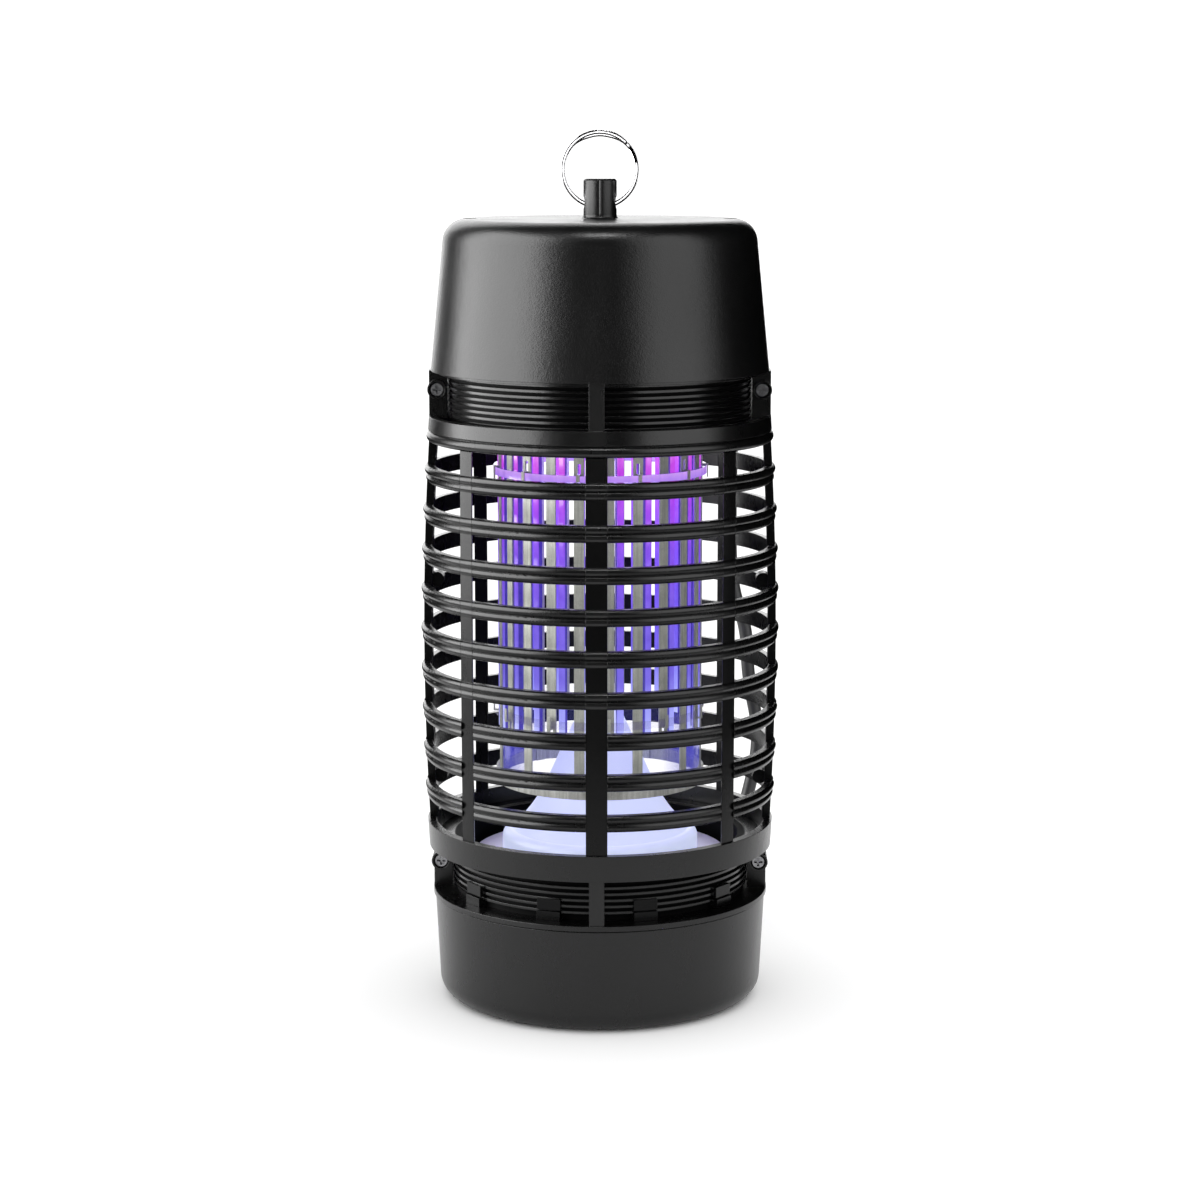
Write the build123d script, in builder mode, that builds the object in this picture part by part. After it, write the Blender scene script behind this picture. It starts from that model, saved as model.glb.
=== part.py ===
"""Electric bug zapper: a slotted two-part cage round a high-voltage strip grid,
with a lamp housing and driver under the cap, a pull-off collecting tray below,
a hanging ring on top and a mains cord put away in a coil behind it.

Millimetres, +Z up, the origin at the middle of the face it stands on, -Y to the front.
"""

from build123d import *
from math import cos, pi, radians, sin, sqrt, tan
import os

os.makedirs("parts", exist_ok=True)

# ---- driving dimensions: heights above the resting face ----
TRAY_TOP = 34.6
RIM_BOTTOM = 35.0
RIM_TOP = 36.7
LOWER_BAND_BOTTOM = 51.7
LOWER_BAND_TOP = 60.3
SLOT_TOP = 188.2
SLOT_PITCH = 13.34
SLOT_HEIGHT = 7.8
SLOT_ROWS = 10
UPPER_BAND_TOP = 196.6
CAP_BOTTOM = 211.5
CAP_TOP = 261.0
POST_TOP = 274.0

# ---- the barrel-shaped cage ----
CAGE_RADIUS = 59.9
CAGE_WAIST = 118.0
CAGE_BOW = 1120.0
CAGE_WALL = 3.0
POST_INSET = 0.9
RING_HEIGHT = SLOT_PITCH - SLOT_HEIGHT
FRONT_POST_WIDTH = 6.9
SIDE_POST_X = 42.2
SIDE_POST_WIDTH = 4.0
SEAM_POST_WIDTH = 7.0
RECESS_POST_WIDTH = 4.9
SEAM_GAP = 0.05
SCREW_BOSS_X = 53.5
SCREW_BOSS_RADIUS = 3.2
SCREW_BOSS_LENGTH = 8.5
SCREW_SINK = 2.3
SCREW_HEAD_BORE = 2.55
SCREW_HOLE_RADIUS = 1.5
SIDE_BLOCK_WIDTH = 12.0
SIDE_BLOCK_FRONT = 5.0
SIDE_BLOCK_REAR = 10.5
SCREW_HEIGHTS = (46.1, 205.4)
LOCATING_PIN_HEIGHTS = (74.5, 141.5)

# ---- lamp housing and lower collar ----
DRUM_RADIUS = 49.2
DRUM_RIB_RADIUS = 50.2
DRUM_FLOOR = 190.4
DRUM_RIBS = 8
DRUM_FIRST_RIB = 195.9
DRUM_RIB_PITCH = 1.98
FLANGE_LEVEL = 213.5
COLLAR_RADIUS = 48.6
COLLAR_RIB_RADIUS = 49.8
COLLAR_TOP = 55.0
COLLAR_RIBS = 5
COLLAR_FIRST_RIB = 39.0
COLLAR_RIB_PITCH = 2.05
RIB_THICKNESS = 0.9
DRIVER_LEVEL = 218.0

# ---- strip grid ----
STRIP_COUNT = 22
STRIP_RADIUS = 33.6
STRIP_THICKNESS = 0.5
STRIP_WIDTH = 3.4
GRID_TURN = -2.2
TONGUE_WIDTH = 1.2
TONGUE_THICKNESS = 0.4
TONGUE_SLOT = 3.3
UPPER_RING_LOW = 177.4
UPPER_RING_HIGH = 180.0
HOOK_RING_LOW = 96.5
HOOK_RING_HIGH = 99.1
SKIRT_LOW = 78.4
SKIRT_HIGH = 92.0
GRID_RING_LOW = 73.4
GRID_RING_HIGH = 78.0

# ---- hanging post and ring ----
HANGER_POST_RADIUS = 5.5
HANGER_HOLE_LEVEL = 266.2
HANGER_HOLE_RADIUS = 2.2
RING_RADIUS = 12.15
RING_LEVEL = 277.0

# ---- cap ----
CAP_RADIUS_LOW = 56.0
CAP_RADIUS_HIGH = 51.1
CAP_EDGE = 7.6
CAP_WALL = 2.2
CAP_SCREW_X = 43.2
CAP_WELL_RADIUS = 2.75
CAP_WELL_FLOOR = 222.0

# ---- mains cord ----
CORD_DIAMETER = 4.8
GLAND_BEARING = 25.0
GLAND_LEVEL = 224.0
GLAND_TIP = 76.0
COIL_CENTRE = (9.0, 118.0)
COIL_MID_RADIUS = 26.2
COIL_TURNS_ACROSS = 4
COIL_LAYERS = 2
COIL_LENGTH = 1161.4
PLUG_HEIGHT = 13.7
PLUG_WIDTH = 35.3
PLUG_LENGTH = 36.0
PLUG_PIN_LENGTH = 19.0
PLUG_PIN_SPACING = 19.0


def barrel_radius(z):
    """Outer radius of the cage: one long arc, widest at the waist."""
    return CAGE_RADIUS - CAGE_BOW + sqrt(CAGE_BOW**2 - (z - CAGE_WAIST) ** 2)


def hoop(inner, outer, low, high):
    """A plain flat ring between two radii and two heights."""
    with BuildPart() as ring:
        with BuildSketch(Plane.XY.offset(low)):
            Circle(outer)
            if inner > 0:
                Circle(inner, mode=Mode.SUBTRACT)
        extrude(amount=high - low)
    return ring.part


def barrel_wall(low, high, inner_inset, outer_inset):
    """A full turn of the barrel's wall, set in from the outer surface."""
    middle = (low + high) / 2
    with BuildPart() as wall:
        with BuildSketch(Plane.XZ):
            with BuildLine():
                outer = ThreePointArc(
                    (barrel_radius(low) - outer_inset, low),
                    (barrel_radius(middle) - outer_inset, middle),
                    (barrel_radius(high) - outer_inset, high),
                )
                inner = ThreePointArc(
                    (barrel_radius(low) - inner_inset, low),
                    (barrel_radius(middle) - inner_inset, middle),
                    (barrel_radius(high) - inner_inset, high),
                )
                Line(outer @ 0, inner @ 0)
                Line(outer @ 1, inner @ 1)
            make_face()
        revolve(axis=Axis.Z)
    return wall.part


def slot_ring(low, height):
    """A cage ring: a rounded lower bead, a groove and a prouder upper bead."""
    radius = barrel_radius(low + height / 2)
    groove = low + height / 2
    with BuildPart() as ring:
        with BuildSketch(Plane.XZ):
            with BuildLine():
                lower = ThreePointArc(
                    (radius - 1.5, low),
                    (radius - 0.45, low + 0.22 * height),
                    (radius - 1.05, groove),
                )
                upper = ThreePointArc(
                    (radius - 1.05, groove),
                    (radius, low + 0.78 * height),
                    (radius - 0.9, low + height),
                )
                Line(upper @ 1, (radius - CAGE_WALL, low + height))
                Line((radius - CAGE_WALL, low + height), (radius - CAGE_WALL, low))
                Line((radius - CAGE_WALL, low), lower @ 0)
            make_face()
        revolve(axis=Axis.Z)
    return ring.part


def beaded_band(low, high):
    """The upper band: a rounded bead at its foot under a flat belt."""
    foot = barrel_radius(low)
    top = barrel_radius(high)
    bead_top = low + 3.4
    with BuildPart() as band:
        with BuildSketch(Plane.XZ):
            with BuildLine():
                bead = ThreePointArc((foot - 1.5, low), (foot - 0.1, low + 1.9), (foot - 1.1, bead_top))
                Line(bead @ 1, (foot - 0.7, bead_top + 0.5))
                Line((foot - 0.7, bead_top + 0.5), (top - 0.4, high))
                Line((top - 0.4, high), (top - CAGE_WALL, high))
                Line((top - CAGE_WALL, high), (foot - CAGE_WALL, low))
                Line((foot - CAGE_WALL, low), bead @ 0)
            make_face()
        revolve(axis=Axis.Z)
    return band.part


def footprint_prisms(low, high, footprints):
    """Upright blocks over each (x, y, width, depth) footprint."""
    with BuildPart() as blocks:
        with BuildSketch(Plane.XY.offset(low)):
            for x, y, width, depth in footprints:
                with Locations((x, y)):
                    Rectangle(width, depth)
        extrude(amount=high - low)
    return blocks.part


def upright_posts(low, high, footprints):
    """Uprights of the cage wall over each footprint."""
    with BuildPart() as posts:
        add(barrel_wall(low, high, CAGE_WALL + 0.5, POST_INSET))
        add(footprint_prisms(low, high, footprints), mode=Mode.INTERSECT)
    return posts.part


def all_slot_rings():
    """The nine slot rings between the two bands, as full turns."""
    with BuildPart() as rings:
        for row in range(1, SLOT_ROWS):
            add(slot_ring(SLOT_TOP - row * SLOT_PITCH, RING_HEIGHT))
    return rings.part


CAGE_SPAN = 2 * CAGE_RADIUS + 10
WINDOW_POSTS = [
    (0, 0, FRONT_POST_WIDTH, CAGE_SPAN),
    (SIDE_POST_X, 0, SIDE_POST_WIDTH, CAGE_SPAN),
    (-SIDE_POST_X, 0, SIDE_POST_WIDTH, CAGE_SPAN),
    (0, 0, CAGE_SPAN, SEAM_POST_WIDTH),
]
RECESS_POSTS = [(0, 0, RECESS_POST_WIDTH, CAGE_SPAN)]


def side_blocks(low, high, screw_height, inner_radius):
    """The two blocks at the seams of a recess, close round the ribs, with the screw bosses."""
    with BuildPart() as blocks:
        for side in (-1, 1):
            with BuildSketch(Plane.XY.offset(low)):
                Circle(barrel_radius(low) - 0.6)
                Circle(inner_radius, mode=Mode.SUBTRACT)
                # the blocks reach further back, behind the ribs' sides, than to the front
                with Locations((side * SCREW_BOSS_X, (SIDE_BLOCK_REAR - SIDE_BLOCK_FRONT) / 2)):
                    Rectangle(SIDE_BLOCK_WIDTH, SIDE_BLOCK_FRONT + SIDE_BLOCK_REAR, mode=Mode.INTERSECT)
            extrude(amount=high - low)
            boss_end = Plane((side * SCREW_BOSS_X, -SCREW_BOSS_LENGTH, screw_height), z_dir=(0, 1, 0))
            with BuildSketch(boss_end):
                Circle(SCREW_BOSS_RADIUS)
            extrude(amount=2 * SCREW_BOSS_LENGTH)
    return blocks.part


def drill_screw_holes(screw_height):
    """Counterbores and clearance holes in front with pilots behind, as solids to cut away."""
    with BuildPart() as holes:
        for side in (-1, 1):
            boss_end = Plane((side * SCREW_BOSS_X, -SCREW_BOSS_LENGTH, screw_height), z_dir=(0, 1, 0))
            with BuildSketch(boss_end):
                Circle(SCREW_HEAD_BORE)
            extrude(amount=SCREW_SINK)
            with BuildSketch(boss_end):
                Circle(SCREW_HOLE_RADIUS)
            extrude(amount=15.0)
    return holes.part


with BuildPart() as whole_upper_band:
    add(beaded_band(SLOT_TOP, UPPER_BAND_TOP))
    add(upright_posts(UPPER_BAND_TOP - 1, CAP_BOTTOM, RECESS_POSTS))
    add(side_blocks(UPPER_BAND_TOP - 1, CAP_BOTTOM, SCREW_HEIGHTS[1], DRUM_RIB_RADIUS + 0.3))
    # ring inside the cap's edge
    add(hoop(50.8, 53.5, CAP_BOTTOM - 1, FLANGE_LEVEL))
    add(drill_screw_holes(SCREW_HEIGHTS[1]), mode=Mode.SUBTRACT)

with BuildPart() as whole_lower_band:
    add(barrel_wall(LOWER_BAND_BOTTOM, LOWER_BAND_TOP, CAGE_WALL, 0.2))
    add(upright_posts(RIM_TOP - 1, LOWER_BAND_BOTTOM + 1, RECESS_POSTS))
    add(side_blocks(RIM_TOP - 1, LOWER_BAND_BOTTOM + 1, SCREW_HEIGHTS[0], COLLAR_RIB_RADIUS + 0.3))
    # rim on the tray's edge, with the spigot that the tray grips
    add(hoop(47.6, barrel_radius(RIM_TOP) - 0.5, RIM_BOTTOM, RIM_TOP))
    add(hoop(51.4, 53.2, 28.0, RIM_BOTTOM + 0.5))
    add(drill_screw_holes(SCREW_HEIGHTS[0]), mode=Mode.SUBTRACT)

with BuildPart() as whole_slot_bars:
    add(all_slot_rings())
    add(footprint_prisms(LOWER_BAND_TOP, SLOT_TOP, WINDOW_POSTS), mode=Mode.SUBTRACT)

with BuildPart() as whole_posts:
    add(barrel_wall(LOWER_BAND_TOP, SLOT_TOP, CAGE_WALL + 0.5, POST_INSET))
    add(all_slot_rings())
    add(footprint_prisms(LOWER_BAND_TOP, SLOT_TOP, WINDOW_POSTS), mode=Mode.INTERSECT)
    # locating bosses beside the seams
    for height in LOCATING_PIN_HEIGHTS:
        for side in (-1, 1):
            boss_x = side * (barrel_radius(height) - CAGE_WALL - 2.2)
            with BuildSketch(Plane((boss_x, -3.0, height), z_dir=(0, 1, 0))):
                Circle(2.4)
            extrude(amount=6.0)


def front_half(whole):
    """The half of a cage piece in front of the seam."""
    with BuildPart() as half:
        add(whole)
        split(bisect_by=Plane.XZ.offset(SEAM_GAP), keep=Keep.TOP)
    return half.part


def rear_half(whole):
    """The half of a cage piece behind the seam."""
    with BuildPart() as half:
        add(whole)
        split(bisect_by=Plane.XZ.offset(-SEAM_GAP), keep=Keep.BOTTOM)
    return half.part


with BuildPart() as front_upper_band:
    add(front_half(whole_upper_band.part))
front_upper_band.part.label = "front_upper_band"
export_step(front_upper_band.part, "parts/front_upper_band.step")

with BuildPart() as rear_upper_band:
    add(rear_half(whole_upper_band.part))
rear_upper_band.part.label = "rear_upper_band"
export_step(rear_upper_band.part, "parts/rear_upper_band.step")

with BuildPart() as front_lower_band:
    add(front_half(whole_lower_band.part))
front_lower_band.part.label = "front_lower_band"
export_step(front_lower_band.part, "parts/front_lower_band.step")

with BuildPart() as rear_lower_band:
    add(rear_half(whole_lower_band.part))
rear_lower_band.part.label = "rear_lower_band"
export_step(rear_lower_band.part, "parts/rear_lower_band.step")

with BuildPart() as front_slot_bars:
    add(front_half(whole_slot_bars.part))
front_slot_bars.part.label = "front_slot_bars"
export_step(front_slot_bars.part, "parts/front_slot_bars.step")

with BuildPart() as rear_slot_bars:
    add(rear_half(whole_slot_bars.part))
rear_slot_bars.part.label = "rear_slot_bars"
export_step(rear_slot_bars.part, "parts/rear_slot_bars.step")

with BuildPart() as front_posts:
    add(front_half(whole_posts.part))
    # locating pins
    for height in LOCATING_PIN_HEIGHTS:
        for side in (-1, 1):
            pin_x = side * (barrel_radius(height) - CAGE_WALL - 2.2)
            with BuildSketch(Plane((pin_x, -1.0, height), z_dir=(0, 1, 0))):
                Circle(1.1)
            extrude(amount=3.0)
front_posts.part.label = "front_posts"
export_step(front_posts.part, "parts/front_posts.step")

with BuildPart() as rear_posts:
    add(rear_half(whole_posts.part))
    # sockets for the pins
    for height in LOCATING_PIN_HEIGHTS:
        for side in (-1, 1):
            pin_x = side * (barrel_radius(height) - CAGE_WALL - 2.2)
            with BuildSketch(Plane((pin_x, 0, height), z_dir=(0, 1, 0))):
                Circle(1.2)
            extrude(amount=2.4, mode=Mode.SUBTRACT)
rear_posts.part.label = "rear_posts"
export_step(rear_posts.part, "parts/rear_posts.step")


def cross_head_screw(seat, head_radius, head_height, shank_radius, shank_length):
    """A screw whose head sits on the plane's back side and shank runs along its normal."""
    with BuildPart() as screw:
        with BuildSketch(seat.offset(-head_height)):
            Circle(head_radius)
        extrude(amount=head_height)
        chamfer(screw.edges().filter_by(GeomType.CIRCLE).sort_by(Axis(seat.origin, seat.z_dir))[0], 0.4)
        with BuildSketch(seat):
            Circle(shank_radius)
        extrude(amount=shank_length)
        with BuildSketch(seat.offset(-head_height)):
            Rectangle(1.2 * head_radius, 0.3 * head_radius)
            Rectangle(0.3 * head_radius, 1.2 * head_radius)
        extrude(amount=0.6 * head_height, mode=Mode.SUBTRACT)
    return screw.part


with BuildPart() as grille_screws:
    for height in SCREW_HEIGHTS:
        for side in (-1, 1):
            seat_y = -SCREW_BOSS_LENGTH + SCREW_SINK
            grille_seat = Plane((side * SCREW_BOSS_X, seat_y, height), z_dir=(0, 1, 0))
            add(cross_head_screw(grille_seat, 2.4, 2.0, 1.45, 12.0))
grille_screws.part.label = "grille_screws"
export_step(grille_screws.part, "parts/grille_screws.step")


# ---- cap, with the hanging post moulded on ----
with BuildPart() as top_cap:
    with BuildSketch(Plane.XZ) as cap_outline:
        with BuildLine():
            Polyline(
                (0, CAP_BOTTOM),
                (CAP_RADIUS_LOW, CAP_BOTTOM),
                (CAP_RADIUS_HIGH, CAP_TOP),
                (0, CAP_TOP),
                close=True,
            )
        make_face()
        fillet(cap_outline.vertices().group_by(Axis.Y)[-1].sort_by(Axis.X)[-1], CAP_EDGE)
    revolve(axis=Axis.Z)
    with BuildSketch(Plane.XZ) as cap_hollow:
        with BuildLine():
            Polyline(
                (0, CAP_BOTTOM - 1),
                (CAP_RADIUS_LOW - CAP_WALL, CAP_BOTTOM - 1),
                (CAP_RADIUS_HIGH - CAP_WALL, CAP_TOP - CAP_WALL),
                (0, CAP_TOP - CAP_WALL),
                close=True,
            )
        make_face()
        fillet(cap_hollow.vertices().group_by(Axis.Y)[-1].sort_by(Axis.X)[-1], CAP_EDGE - CAP_WALL)
    revolve(axis=Axis.Z, mode=Mode.SUBTRACT)
    # tubes for the two screws that hold the cap down
    for side in (-1, 1):
        with BuildSketch(Plane.XY.offset(CAP_WELL_FLOOR - 3.0)):
            with Locations((side * CAP_SCREW_X, 0)):
                Circle(CAP_WELL_RADIUS + 1.5)
        extrude(amount=CAP_TOP - CAP_WALL / 2 - CAP_WELL_FLOOR + 3.0)
        with BuildSketch(Plane.XY.offset(CAP_WELL_FLOOR)):
            with Locations((side * CAP_SCREW_X, 0)):
                Circle(CAP_WELL_RADIUS)
        extrude(amount=CAP_TOP - CAP_WELL_FLOOR + 1.0, mode=Mode.SUBTRACT)
        with BuildSketch(Plane.XY.offset(CAP_WELL_FLOOR - 4.0)):
            with Locations((side * CAP_SCREW_X, 0)):
                Circle(1.6)
        extrude(amount=5.0, mode=Mode.SUBTRACT)
    # post with a flared foot and a hole across it for the ring
    with BuildSketch(Plane.XZ) as post_outline:
        with BuildLine():
            post_foot = CAP_TOP - CAP_WALL / 2
            Line((0, post_foot), (HANGER_POST_RADIUS + 1.2, post_foot))
            Line((HANGER_POST_RADIUS + 1.2, post_foot), (HANGER_POST_RADIUS + 1.2, CAP_TOP))
            flare = RadiusArc((HANGER_POST_RADIUS + 1.2, CAP_TOP), (HANGER_POST_RADIUS, CAP_TOP + 1.2), 1.2)
            Line(flare @ 1, (HANGER_POST_RADIUS, POST_TOP - 0.6))
            Line((HANGER_POST_RADIUS, POST_TOP - 0.6), (HANGER_POST_RADIUS - 0.6, POST_TOP))
            Line((HANGER_POST_RADIUS - 0.6, POST_TOP), (0, POST_TOP))
            Line((0, POST_TOP), (0, post_foot))
        make_face()
    revolve(axis=Axis.Z)
    with BuildSketch(Plane.YZ.offset(-10)):
        with Locations((0, HANGER_HOLE_LEVEL)):
            Circle(HANGER_HOLE_RADIUS)
    extrude(amount=20, mode=Mode.SUBTRACT)
    # cord outlet
    outlet = (sin(radians(GLAND_BEARING)), cos(radians(GLAND_BEARING)), 0)
    outlet_start = (45 * outlet[0], 45 * outlet[1], GLAND_LEVEL)
    with BuildSketch(Plane(outlet_start, z_dir=outlet)):
        Circle(4.2)
    extrude(amount=20, mode=Mode.SUBTRACT)
top_cap.part.label = "top_cap"
export_step(top_cap.part, "parts/top_cap.step")

with BuildPart() as cap_screws:
    for side in (-1, 1):
        cap_seat = Plane((side * CAP_SCREW_X, 0, CAP_WELL_FLOOR), z_dir=(0, 0, -1))
        add(cross_head_screw(cap_seat, 2.5, 2.0, 1.4, 14.0))
cap_screws.part.label = "cap_screws"
export_step(cap_screws.part, "parts/cap_screws.step")

with BuildPart() as hanging_ring:
    with BuildSketch(Plane.YZ.offset(0)) as ring_section:
        with Locations((0, RING_LEVEL - RING_RADIUS)):
            RectangleRounded(1.8, 1.5, 0.4)
    revolve(axis=Axis((0, 0, RING_LEVEL), (0, 1, 0)))
hanging_ring.part.label = "hanging_ring"
export_step(hanging_ring.part, "parts/hanging_ring.step")


# ---- lamp housing: ribbed drum with a flanged top and a floor over the grid ----
LENS_RADIUS = 24.0
BOARD_POST_X = 30.0
BOARD_POST_Y = 20.0
LED_POST_RADIUS = 27.0
LED_BOARD_LEVEL = 195.0
CAP_BOSS_LOW = 204.0

with BuildPart() as upper_drum:
    add(hoop(DRUM_RADIUS - 2, DRUM_RADIUS, DRUM_FLOOR, FLANGE_LEVEL + 2))
    add(hoop(LENS_RADIUS - 2, DRUM_RADIUS - 1, DRUM_FLOOR, DRUM_FLOOR + 2))
    add(hoop(LENS_RADIUS + 0.1, LENS_RADIUS + 1.6, DRUM_FLOOR + 1, DRUM_FLOOR + 3))
    with BuildSketch(Plane.XY.offset(DRUM_FLOOR + 0.8)):
        Circle(LENS_RADIUS + 0.1)
    extrude(amount=3, mode=Mode.SUBTRACT)
    add(hoop(DRUM_RADIUS - 2, 53.2, FLANGE_LEVEL, FLANGE_LEVEL + 2))
    for rib in range(DRUM_RIBS):
        rib_low = DRUM_FIRST_RIB + DRUM_RIB_PITCH * rib
        add(hoop(DRUM_RADIUS - 1, DRUM_RIB_RADIUS, rib_low, rib_low + RIB_THICKNESS))
    # pillars for the driver board
    with BuildSketch(Plane.XY.offset(DRUM_FLOOR + 1)):
        with GridLocations(2 * BOARD_POST_X, 2 * BOARD_POST_Y, 2, 2):
            Circle(3.2)
    extrude(amount=DRIVER_LEVEL - DRUM_FLOOR - 1)
    with BuildSketch(Plane.XY.offset(DRIVER_LEVEL - 12)):
        with GridLocations(2 * BOARD_POST_X, 2 * BOARD_POST_Y, 2, 2):
            Circle(1.3)
    extrude(amount=13, mode=Mode.SUBTRACT)
    # short pillars for the LED board
    with BuildSketch(Plane.XY.offset(DRUM_FLOOR + 1)):
        with PolarLocations(LED_POST_RADIUS, 3, start_angle=90):
            Circle(2.4)
    extrude(amount=LED_BOARD_LEVEL - DRUM_FLOOR - 1)
    with BuildSketch(Plane.XY.offset(DRUM_FLOOR + 0.9)):
        with PolarLocations(LED_POST_RADIUS, 3, start_angle=90):
            Circle(1.1)
    extrude(amount=5, mode=Mode.SUBTRACT)
    # bosses under the cap's screw tubes, webbed to the wall
    for side in (-1, 1):
        with BuildSketch(Plane.XY.offset(CAP_BOSS_LOW)):
            with Locations((side * CAP_SCREW_X, 0)):
                Circle(4.0)
            with Locations((side * (CAP_SCREW_X + 2.5), 0)):
                Rectangle(5.0, 6.0)
            with Locations((side * CAP_SCREW_X, 0)):
                Circle(1.45, mode=Mode.SUBTRACT)
        extrude(amount=FLANGE_LEVEL + 2 - CAP_BOSS_LOW)
        with BuildSketch(Plane.XY.offset(FLANGE_LEVEL + 1)):
            with Locations((side * CAP_SCREW_X, 0)):
                Circle(4.0)
                Circle(1.45, mode=Mode.SUBTRACT)
        extrude(amount=CAP_WELL_FLOOR - 4.0 - FLANGE_LEVEL)
    # two holes for the high-voltage leads
    with BuildSketch(Plane.XY.offset(DRUM_FLOOR - 1)):
        with Locations((37.0, 8.0), (37.0, -8.0)):
            Circle(1.3)
    extrude(amount=5, mode=Mode.SUBTRACT)
upper_drum.part.label = "upper_drum"
export_step(upper_drum.part, "parts/upper_drum.step")

with BuildPart() as lamp_lens:
    add(hoop(0, LENS_RADIUS, DRUM_FLOOR + 0.8, DRUM_FLOOR + 2.0))
lamp_lens.part.label = "lamp_lens"
export_step(lamp_lens.part, "parts/lamp_lens.step")

with BuildPart() as led_board:
    with BuildSketch(Plane.XY.offset(LED_BOARD_LEVEL)):
        Circle(30.0)
        with PolarLocations(LED_POST_RADIUS, 3, start_angle=90):
            Circle(1.2, mode=Mode.SUBTRACT)
    extrude(amount=1.6)
led_board.part.label = "led_board"
export_step(led_board.part, "parts/led_board.step")

with BuildPart() as uv_leds:
    with BuildSketch(Plane.XY.offset(LED_BOARD_LEVEL)):
        Rectangle(3.5, 3.5)
        with PolarLocations(13.0, 8):
            Rectangle(3.5, 3.5)
    extrude(amount=-1.1)
uv_leds.part.label = "uv_leds"
export_step(uv_leds.part, "parts/uv_leds.step")

with BuildPart() as led_board_screws:
    for bearing in (90, 210, 330):
        post_x = LED_POST_RADIUS * cos(radians(bearing))
        post_y = LED_POST_RADIUS * sin(radians(bearing))
        led_seat = Plane((post_x, post_y, LED_BOARD_LEVEL + 1.6), z_dir=(0, 0, -1))
        add(cross_head_screw(led_seat, 2.2, 1.5, 1.05, 4.6))
led_board_screws.part.label = "led_board_screws"
export_step(led_board_screws.part, "parts/led_board_screws.step")

# ---- driver electronics under the cap ----
BOARD_TOP = DRIVER_LEVEL + 1.6

with BuildPart() as driver_board:
    with BuildSketch(Plane.XY.offset(DRIVER_LEVEL)):
        RectangleRounded(74, 50, 3)
        with GridLocations(2 * BOARD_POST_X, 2 * BOARD_POST_Y, 2, 2):
            Circle(1.6, mode=Mode.SUBTRACT)
    extrude(amount=1.6)
driver_board.part.label = "driver_board"
export_step(driver_board.part, "parts/driver_board.step")

with BuildPart() as driver_board_screws:
    for x in (-BOARD_POST_X, BOARD_POST_X):
        for y in (-BOARD_POST_Y, BOARD_POST_Y):
            add(cross_head_screw(Plane((x, y, BOARD_TOP), z_dir=(0, 0, -1)), 2.6, 1.8, 1.25, 9.0))
driver_board_screws.part.label = "driver_board_screws"
export_step(driver_board_screws.part, "parts/driver_board_screws.step")

with BuildPart() as transformer:
    with BuildSketch(Plane.XY.offset(BOARD_TOP)):
        with Locations((-10, 0)):
            Rectangle(16, 18)
    extrude(amount=4)
    with BuildSketch(Plane.XY.offset(BOARD_TOP + 4)):
        with Locations((-10, 0)):
            Circle(7)
    extrude(amount=8)
    with BuildSketch(Plane.XY.offset(BOARD_TOP + 12)):
        with Locations((-10, 0)):
            Rectangle(16, 18)
    extrude(amount=4)
transformer.part.label = "transformer"
export_step(transformer.part, "parts/transformer.step")

with BuildPart() as driver_capacitors:
    with BuildSketch(Plane.XY.offset(BOARD_TOP)):
        with Locations((8, -12), (19, -12)):
            Circle(4)
    extrude(amount=13)
    with BuildSketch(Plane.XY.offset(BOARD_TOP)):
        with Locations((-26, -6), (-26, 6)):
            Rectangle(6, 9)
    extrude(amount=9)
driver_capacitors.part.label = "driver_capacitors"
export_step(driver_capacitors.part, "parts/driver_capacitors.step")

with BuildPart() as driver_diodes:
    for place in range(4):
        with BuildSketch(Plane((4 + 4.5 * place, 3, BOARD_TOP + 1.5), z_dir=(0, 1, 0))):
            Circle(1.3)
        extrude(amount=5)
        with BuildSketch(Plane.XY.offset(BOARD_TOP)):
            with Locations((4 + 4.5 * place, 5.5)):
                Rectangle(0.8, 4.6)
        extrude(amount=1.0)
driver_diodes.part.label = "driver_diodes"
export_step(driver_diodes.part, "parts/driver_diodes.step")

with BuildPart() as mains_terminal:
    with BuildSketch(Plane.XY.offset(BOARD_TOP)):
        with Locations((13, 17)):
            Rectangle(12, 9)
    extrude(amount=10)
mains_terminal.part.label = "mains_terminal"
export_step(mains_terminal.part, "parts/mains_terminal.step")


def lead(points, radii, diameter):
    """A round lead through the given points, with a tangent arc at each corner."""
    start = Vector(*points[0])
    heading = Vector(*points[1]) - start
    with BuildPart() as run:
        with BuildLine():
            FilletPolyline(*points, radius=radii)
        with BuildSketch(Plane(start, z_dir=heading)):
            Circle(diameter / 2)
        sweep()
    return run.part


gland_way = Vector(sin(radians(GLAND_BEARING)), cos(radians(GLAND_BEARING)), 0)
gland_side = Vector(cos(radians(GLAND_BEARING)), -sin(radians(GLAND_BEARING)), 0)
gland_inner = Vector(0, 0, GLAND_LEVEL) + gland_way * 48.7

with BuildPart() as mains_leads:
    for side, terminal_x in ((-1, 10.5), (1, 15.5)):
        outer_end = gland_inner + gland_side * (0.9 * side)
        bend = Vector(terminal_x, 27.5, GLAND_LEVEL)
        inner_end = Vector(terminal_x, 21.5, GLAND_LEVEL)
        route = [tuple(outer_end), tuple(bend), tuple(inner_end)]
        add(lead(route, [3.0], 1.5))
mains_leads.part.label = "mains_leads"
export_step(mains_leads.part, "parts/mains_leads.step")

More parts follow.
